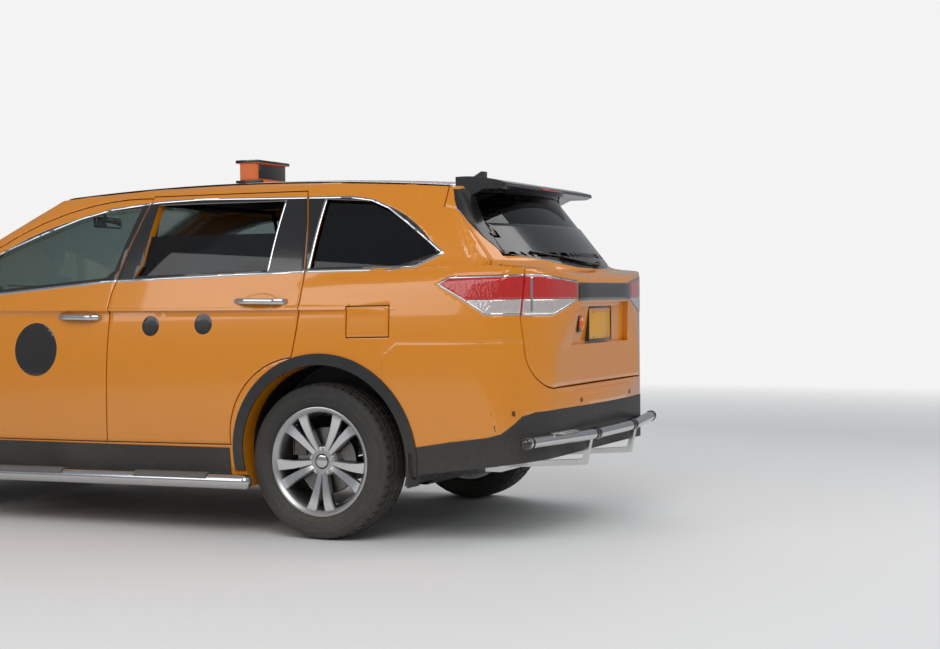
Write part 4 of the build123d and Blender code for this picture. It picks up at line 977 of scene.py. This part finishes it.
# Roof sign: the amber housing is the solid; this adds its black lid and base, screws and the blank black faces.
bm = bmesh.new()
for x0, x1 in ((816, 820.5), (929.5, 934)):
    slab(bm, (x0, -132, 1776), (x1, 132, 1850), 2.0)
slab(bm, (803, -160, 1858), (947, 160, 1874), 4.0)
slab(bm, (800, -156, 1752), (950, 156, 1766), 4.0)
for y in (-120, 120):
    rod(bm, (875, y, 1868), (875, y, 1878), 7, 6, 16)
hang(bm, "roof_sign_faces", "root", gloss_black)

# Rear guard bar fittings: black bands, rings and end caps on the bright tube, ribbed step plate over it.
tread_plate = material("checkered_plate", (0.50, 0.50, 0.50), 0.3, metallic=1.0, dust=0.35, grain=70.0,
                       grain_depth=0.9, mottle=0.15)
bar_z, bar_radius, cap_y = 480, 27.5, 875


def bar_x(y):
    """Where the tube runs at a distance from the middle."""
    return -1129 + (0 if abs(y) < 300 else (abs(y) - 300) / 575 * 99)


bm = bmesh.new()
for y in (250, 282, -250, -282):
    rod(bm, (bar_x(y), y - 9, bar_z), (bar_x(y), y + 9, bar_z), 30, 30, 32)
plate_middle = bar_x(550)
slab(bm, (plate_middle - 38, 455, 505), (plate_middle + 34, 650, 511), 2.0, 1)
for k in range(7):
    slab(bm, (plate_middle - 30, 470 + 26 * k, 510.5), (plate_middle + 26, 478 + 26 * k, 513.5), 1.2, 1)
for side in (-1, 1):
    ball(bm, (bar_x(cap_y), side * cap_y, bar_z), (bar_radius,) * 3, 32, 16)
    rod(bm, (bar_x(845), side * 842, bar_z), (bar_x(845), side * 850, bar_z), 29.5, 29.5, 32)
hang(bm, "guard_bar_fittings", "root", [gloss_black, tread_plate])

# Mud flaps: moulded black plastic, screwed behind the rear wheels. Round black sensors are let into the bumper.
bm = bmesh.new()
slab(bm, (-462, 800, 262), (-452, 918, 420), 3.0)
hang(bm, "mud_flap", "root", grained, both=True)
bm = bmesh.new()
for y, z in ((822, 608), (340, 644)):
    seat = laid([(-1500, y, z)], from_behind, below_belt, 1.0)[0]
    rod(bm, seat + Vector((6, 0, 0)), seat + Vector((-3.2, 0, 0)), 12, 11, 28)
hang(bm, "parking_sensors", "root", gloss_black, both=True)

# Door mirrors: yellow housings from the solids, black foot, mirror glass in a rim facing back.
mirror_glass = material("mirror_glass", (0.86, 0.87, 0.88), 0.01, metallic=1.0, mottle=0.01)
bm = bmesh.new()
slab(bm, (2060, 892, 1114), (2066, 1058, 1236), 2.5, 1)
slab(bm, (2057.5, 900, 1122), (2061, 1050, 1228), 1.5, 0)
slab(bm, (2068, 884, 1098), (2172, 1066, 1112), 6.0, 1)
hang(bm, "mirror_glass", front_door, [mirror_glass, gloss_black], both=True)

# Inside trim: grey moulded door cards and rear quarters, cloth-faced pillars and headliner, clipped to the steel.
# All lie on the body's own surface, moved in by the depth of the doors or of the roof's frame.
trim_cloth = material("grey_trim_cloth", (0.085, 0.082, 0.078), 0.9, grain=1100.0, grain_depth=0.25, mottle=0.12)
card_depth, frame_depth = -98.0, -48.5
for name, owner, line in (
        ("front_door_card", front_door, [(1262, 480), (1246, 1130), (2150, 1130), (2180, 480)]),
        ("rear_door_card", rear_door, [(580, 500), (560, 700), (440, 840), (230, 920), (180, 1130), (1126, 1130),
                                       (1144, 500)]),
        ("quarter_card", "root", [(90, 930), (60, 1230), (-700, 1200), (-900, 1000), (-900, 900), (-500, 880)])):
    panel(name, owner, dash_plastic, "left", line, lift=card_depth, step=40.0)
by_owner("inner_pillar_trim", offset_line(window_line, 4), [offset_line(w, 1) for w in windows], frame_depth,
         trim_cloth, door_edge=-36, frame_edge=-29)
panel("headliner", "root", trim_cloth, "above", rectangle(-500, 1560, -560, 560), shape=above_belt, lift=frame_depth,
      step=60.0, outward=(0, 0, -1), thick=1.5)
bm = bmesh.new()
for x0, x1, z in ((1320, 1900, 905), (260, 1080, 925)):
    slab(bm, (x0, 772, z - 24), (x1, 838, z + 14), 14.0)
hang(bm, "arm_rests", "root", vinyl, both=True)

# Seats: black vinyl over foam. Each pad swells from a slightly small block, then its channels are sewn in.
# Steel runners and a plastic foot carry the front seats; a steel box carries the bench.
pad_voxel, groove_depth, groove_width = 0.011, 0.008, 0.009


def taken(piece):
    """The piece's mesh with its modifiers applied."""
    return bpy.data.meshes.new_from_object(piece.evaluated_get(bpy.context.evaluated_depsgraph_get()))


def smoothed(piece):
    smooth = piece.modifiers.new("smooth", "SUBSURF")
    smooth.levels = smooth.render_levels = 1


def swell(name, bm, cap, channels, centre):
    """A padded piece: remeshed, blown up as cloth no further than cap, with grooves along its channels."""
    bmesh.ops.scale(bm, vec=(0.001, 0.001, 0.001), verts=bm.verts[:])
    bmesh.ops.translate(bm, vec=(-axle_x / 1000, 0, 0), verts=bm.verts[:])
    mesh = bpy.data.meshes.new(name)
    bm.to_mesh(mesh)
    bm.free()
    piece = bpy.data.objects.new(name, mesh)
    bpy.context.scene.collection.objects.link(piece)
    remesh = piece.modifiers.new("remesh", "REMESH")
    remesh.mode, remesh.voxel_size = "VOXEL", pad_voxel
    piece.data = taken(piece)
    piece.modifiers.clear()
    start = np.array([v.co[:] for v in piece.data.vertices])
    cloth = piece.modifiers.new("cloth", "CLOTH")
    cloth.settings.use_pressure = True
    cloth.settings.uniform_pressure_force = 4
    cloth.settings.effector_weights.gravity = 0
    cloth.settings.quality = 3
    for frame_number in range(1, 21):
        bpy.context.scene.frame_set(frame_number)
    piece.data = taken(piece)
    piece.modifiers.clear()
    bpy.context.scene.frame_set(1)
    moved = np.array([v.co[:] for v in piece.data.vertices]) - start
    far_moved = np.linalg.norm(moved, axis=1)[:, None]
    swollen = start + moved * np.minimum(1.0, cap / np.maximum(far_moved, 1e-6))
    inward = np.array(centre) - swollen
    inward /= np.linalg.norm(inward, axis=1)[:, None]
    for axis, line_at in channels:
        depth = groove_depth * np.exp(-((swollen[:, axis] - line_at) / groove_width) ** 2)
        swollen = swollen + inward * depth[:, None]
    for v, co in zip(piece.data.vertices, swollen):
        v.co = co
    piece.data.shade_smooth()
    smoothed(piece)
    piece.data.materials.clear()
    piece.data.materials.append(vinyl)
    return piece


def prism(bm, line, y0, y1, bevel):
    """A side-view outline given a width, with rounded edges."""
    loft(bm, [[(x, y0, z) for x, z in line], [(x, y1, z) for x, z in line]])
    bmesh.ops.recalc_face_normals(bm, faces=bm.faces[:])
    bmesh.ops.bevel(bm, geom=bm.edges[:], offset=bevel, segments=3, profile=0.5, affect="EDGES", material=-1)


def at(x, y, z):
    """A drawn place in metres in the row's frame."""
    return (x / 1000 - axle_x / 1000, y / 1000, z / 1000)


def seat_pad(name, draw, cap, channels, centre, mirrored, stands_for=None):
    """Makes a pad, and its copy on the right where it has one, and hangs both on the floor's body."""
    bm = bmesh.new()
    draw(bm)
    first = swell(name + ("_left" if mirrored else ""), bm, cap, channels, centre)
    pads = [first]
    if mirrored:
        mesh = first.data.copy()
        bm = bmesh.new()
        bm.from_mesh(mesh)
        bmesh.ops.scale(bm, vec=(1, -1, 1), verts=bm.verts[:])
        bmesh.ops.reverse_faces(bm, faces=bm.faces[:])
        bm.to_mesh(mesh)
        bm.free()
        second = bpy.data.objects.new(name + "_right", mesh)
        bpy.context.scene.collection.objects.link(second)
        smoothed(second)
        pads.append(second)
    for pad in pads:
        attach(pad, "root")
    if stands_for:
        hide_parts(stands_for)


back_line = [(1348, 622), (1436, 590), (1328, 1164), (1232, 1172)]
bench_back = [(338, 662), (436, 636), (326, 1184), (234, 1192)]
seat_pad("front_seat_cushion", lambda bm: slab(bm, (1342, 232, 518), (1838, 708, 628), 34.0, segments=3), 0.014,
         [(1, 0.33), (1, 0.61), (0, at(1470, 0, 0)[0]), (0, at(1640, 0, 0)[0])], at(1590, 470, 520), True,
         "front_seats")
seat_pad("front_seat_back", lambda bm: prism(bm, back_line, 238, 702, 26), 0.014,
         [(1, 0.34), (1, 0.60), (2, 0.78), (2, 0.95)], at(1330, 470, 890), True)
seat_pad("front_head_rest", lambda bm: slab(bm, (1198, 350, 1208), (1272, 590, 1352), 26.0, segments=3), 0.008,
         [(2, 1.28)], at(1235, 470, 1280), True)
seat_pad("rear_bench_cushion", lambda bm: slab(bm, (332, -628, 566), (848, 628, 678), 34.0, segments=3), 0.014,
         [(1, -0.21), (1, 0.21), (0, at(470, 0, 0)[0]), (0, at(640, 0, 0)[0])], at(590, 0, 560), False, "rear_bench")
seat_pad("rear_bench_back", lambda bm: prism(bm, bench_back, -628, 628, 26), 0.014,
         [(1, -0.21), (1, 0.21), (2, 0.80), (2, 1.0)], at(330, 0, 900), False)
bm = bmesh.new()
for y in (275, 640):
    slab(bm, (1410, y, 345), (1790, y + 25, 372), 3.0, 1)
slab(bm, (1400, 270, 366), (1800, 670, 512), 10.0)
for y in (418, 522):
    rod(bm, (1240, y, 1160), (1236, y, 1222), 7, 7, 20, 1)
hang(bm, "front_seat_foot", "root", [dash_plastic, cast], both=True)
bm = bmesh.new()
for y0, y1 in ((-560, -124), (124, 560)):
    slab(bm, (600, y0, 338.6), (830, y1, 562), 6.0)
hang(bm, "rear_bench_foot", "root", cast)

# Dashboard fittings: horn pad, instrument hood, fare meter, air vents, console, gear lever and pedals, all in
# moulded plastic screwed to the dashboard or the floor.
screen_glass = material("dark_screen_glass", (0.008, 0.009, 0.011), 0.06, coat=0.8, mottle=0.1)
bm = bmesh.new()
facing = Vector((-0.94, 0, 0.33)).normalized()
hub = Vector((1850, 370, 1010))
rod(bm, hub - facing * 8, hub + facing * 20, 66, 54, 40)
rod(bm, hub + facing * 20, hub + facing * 24, 54, 44, 40)
slab(bm, (2090, 240, 1078), (2230, 500, 1128), 22.0)
slab(bm, (2030, -70, 1062), (2084, 70, 1132), 7.0)
slab(bm, (2027.5, -60, 1070), (2031, 60, 1124), 1.5, 1)
for y in (-760, -230, 150, 600):
    slab(bm, (2016, y, 930), (2046, y + 130, 985), 8.0)
    for k in range(5):
        slab(bm, (2012, y + 8, 936 + 10 * k), (2018, y + 122, 939 + 10 * k), 0.8, 1)
slab(bm, (1420, -100, 425), (2080, 100, 640), 24.0)
slab(bm, (1760, -18, 636), (1800, 18, 720), 10.0)
rod(bm, (2110, 300, 420), (2080, 300, 520), 9, 9, 16)
slab(bm, (2060, 262, 500), (2078, 338, 560), 5.0)
slab(bm, (2062, 440, 470), (2080, 480, 600), 5.0)
hang(bm, "dashboard_fittings", "root", [dash_plastic, screen_glass])

# Partition frame: black tube round the clear sheet with a cross bar, and the rear passengers' screen on it.
bm = bmesh.new()
frame_path = [(1156, -548, 1628), (1156, 548, 1628), (1156, 686, 1202), (1156, 686, 730), (1156, -686, 730),
              (1156, -686, 1202)]
tube_radius = 13
for p, q in zip(frame_path, frame_path[1:] + frame_path[:1]):
    rod(bm, p, q, tube_radius, tube_radius, 16)
    ball(bm, p, (tube_radius,) * 3, 16, 10)
rod(bm, (1156, -686, 1040), (1156, 686, 1040), 11, 11, 16)
slab(bm, (1128, -105, 1085), (1149, 105, 1235), 7.0)
slab(bm, (1126, -95, 1095), (1129, 95, 1225), 1.2, 1)
hang(bm, "partition_frame", "root", [dash_plastic, screen_glass])

# Inner mirror: glass in a plastic case, on a stalk from the windscreen's head.
bm = bmesh.new()
slab(bm, (1905, -120, 1540), (1925, 120, 1604), 8.0)
slab(bm, (1903, -112, 1548), (1906, 112, 1596), 1.0, 1)
rod(bm, (1918, 0, 1590), (1950, 0, 1632), 8, 8, 16)
hang(bm, "inner_mirror", "root", [dash_plastic, mirror_glass])

# Brake calipers: cast iron, straddling each disc, bolted to the hub carriers.
for name, owner, x, y, way_round in (("front", "knuckle_SIDE", front_axle_x, front_wheel_y, -1),
                                     ("rear", "root", 0, rear_wheel_y, 1)):
    bm = bmesh.new()
    near, far_side = sorted((x + way_round * 104, x + way_round * 178))
    slab(bm, (near, y - 18, 390), (far_side, y + 1, 478), 6.0)
    slab(bm, (near, y + 33, 390), (far_side, y + 42, 478), 3.0)
    edge_low, edge_high = sorted((x + way_round * 163, x + way_round * 178))
    slab(bm, (edge_low, y - 18, 392), (edge_high, y + 42, 476), 5.0)
    hang(bm, name + "_brake_caliper", owner, cast, both=True)

# Front lamps: dark projectors in bright rings on each headlamp's face, and a fog lamp low in the bumper.
bm = bmesh.new()
for y, z, radius in ((600, 845, 40), (700, 852, 36)):
    place = laid([(4000, y, z)], from_ahead, below_belt, -6)[0]
    ball(bm, place, (16, radius, radius))
    rod(bm, place - Vector((12, 0, 0)), place + Vector((9, 0, 0)), radius + 6, radius + 3, 40, 1)
place = laid([(4000, 690, 500)], from_ahead, below_belt, 1)[0]
rod(bm, place - Vector((10, 0, 0)), place + Vector((5, 0, 0)), 44, 40, 40, 1)
ball(bm, place + Vector((4, 0, 0)), (9, 34, 34))
hang(bm, "front_lamp_units", "root", [screen_glass, chrome], both=True)

# Grille strips: chrome-plated covers clipped to the front of the grille's bars.
for k, z in enumerate((536, 596, 656, 716, 776, 832)):
    wide = 408 + 20 * min(z - 530, 110) / 110
    panel(f"grille_strip_{k + 1}", "root", chrome, "ahead", rectangle(-wide, wide, z, z + 9), shape=below_belt,
          lift=3.0, step=30.0, edge=3, drop=2)

# Screen wipers: two black arms lying across the windscreen from their spindles.
bm = bmesh.new()
for start, end in ((-560, -60), (-20, 560)):
    arm = laid([(3300, start + (end - start) * k / 12, 1214 + 14 * k / 12) for k in range(13)], from_ahead,
               whole_body, 9)
    hose(bm, arm, 6, 5, 10)
    rod(bm, arm[0] - Vector((0, 0, 22)), arm[0] + Vector((0, 0, 8)), 16, 13, 24)
hang(bm, "screen_wipers", "root", gloss_black)

# High brake lamp in the spoiler's rear edge, and the two plate lamps over the plate's recess.
bm = bmesh.new()
slab(bm, (-816, -130, 1654), (-808, 130, 1662), 2.0)
hang(bm, "high_brake_lamp", "tailgate_body", lamp_red)
bm = bmesh.new()
for y in (-110, 80):
    slab(bm, (plate_x + 2, y, 1092), (plate_x + 26, y + 34, 1102), 2.5)
hang(bm, "plate_lamps", "tailgate_body", lamp_clear)
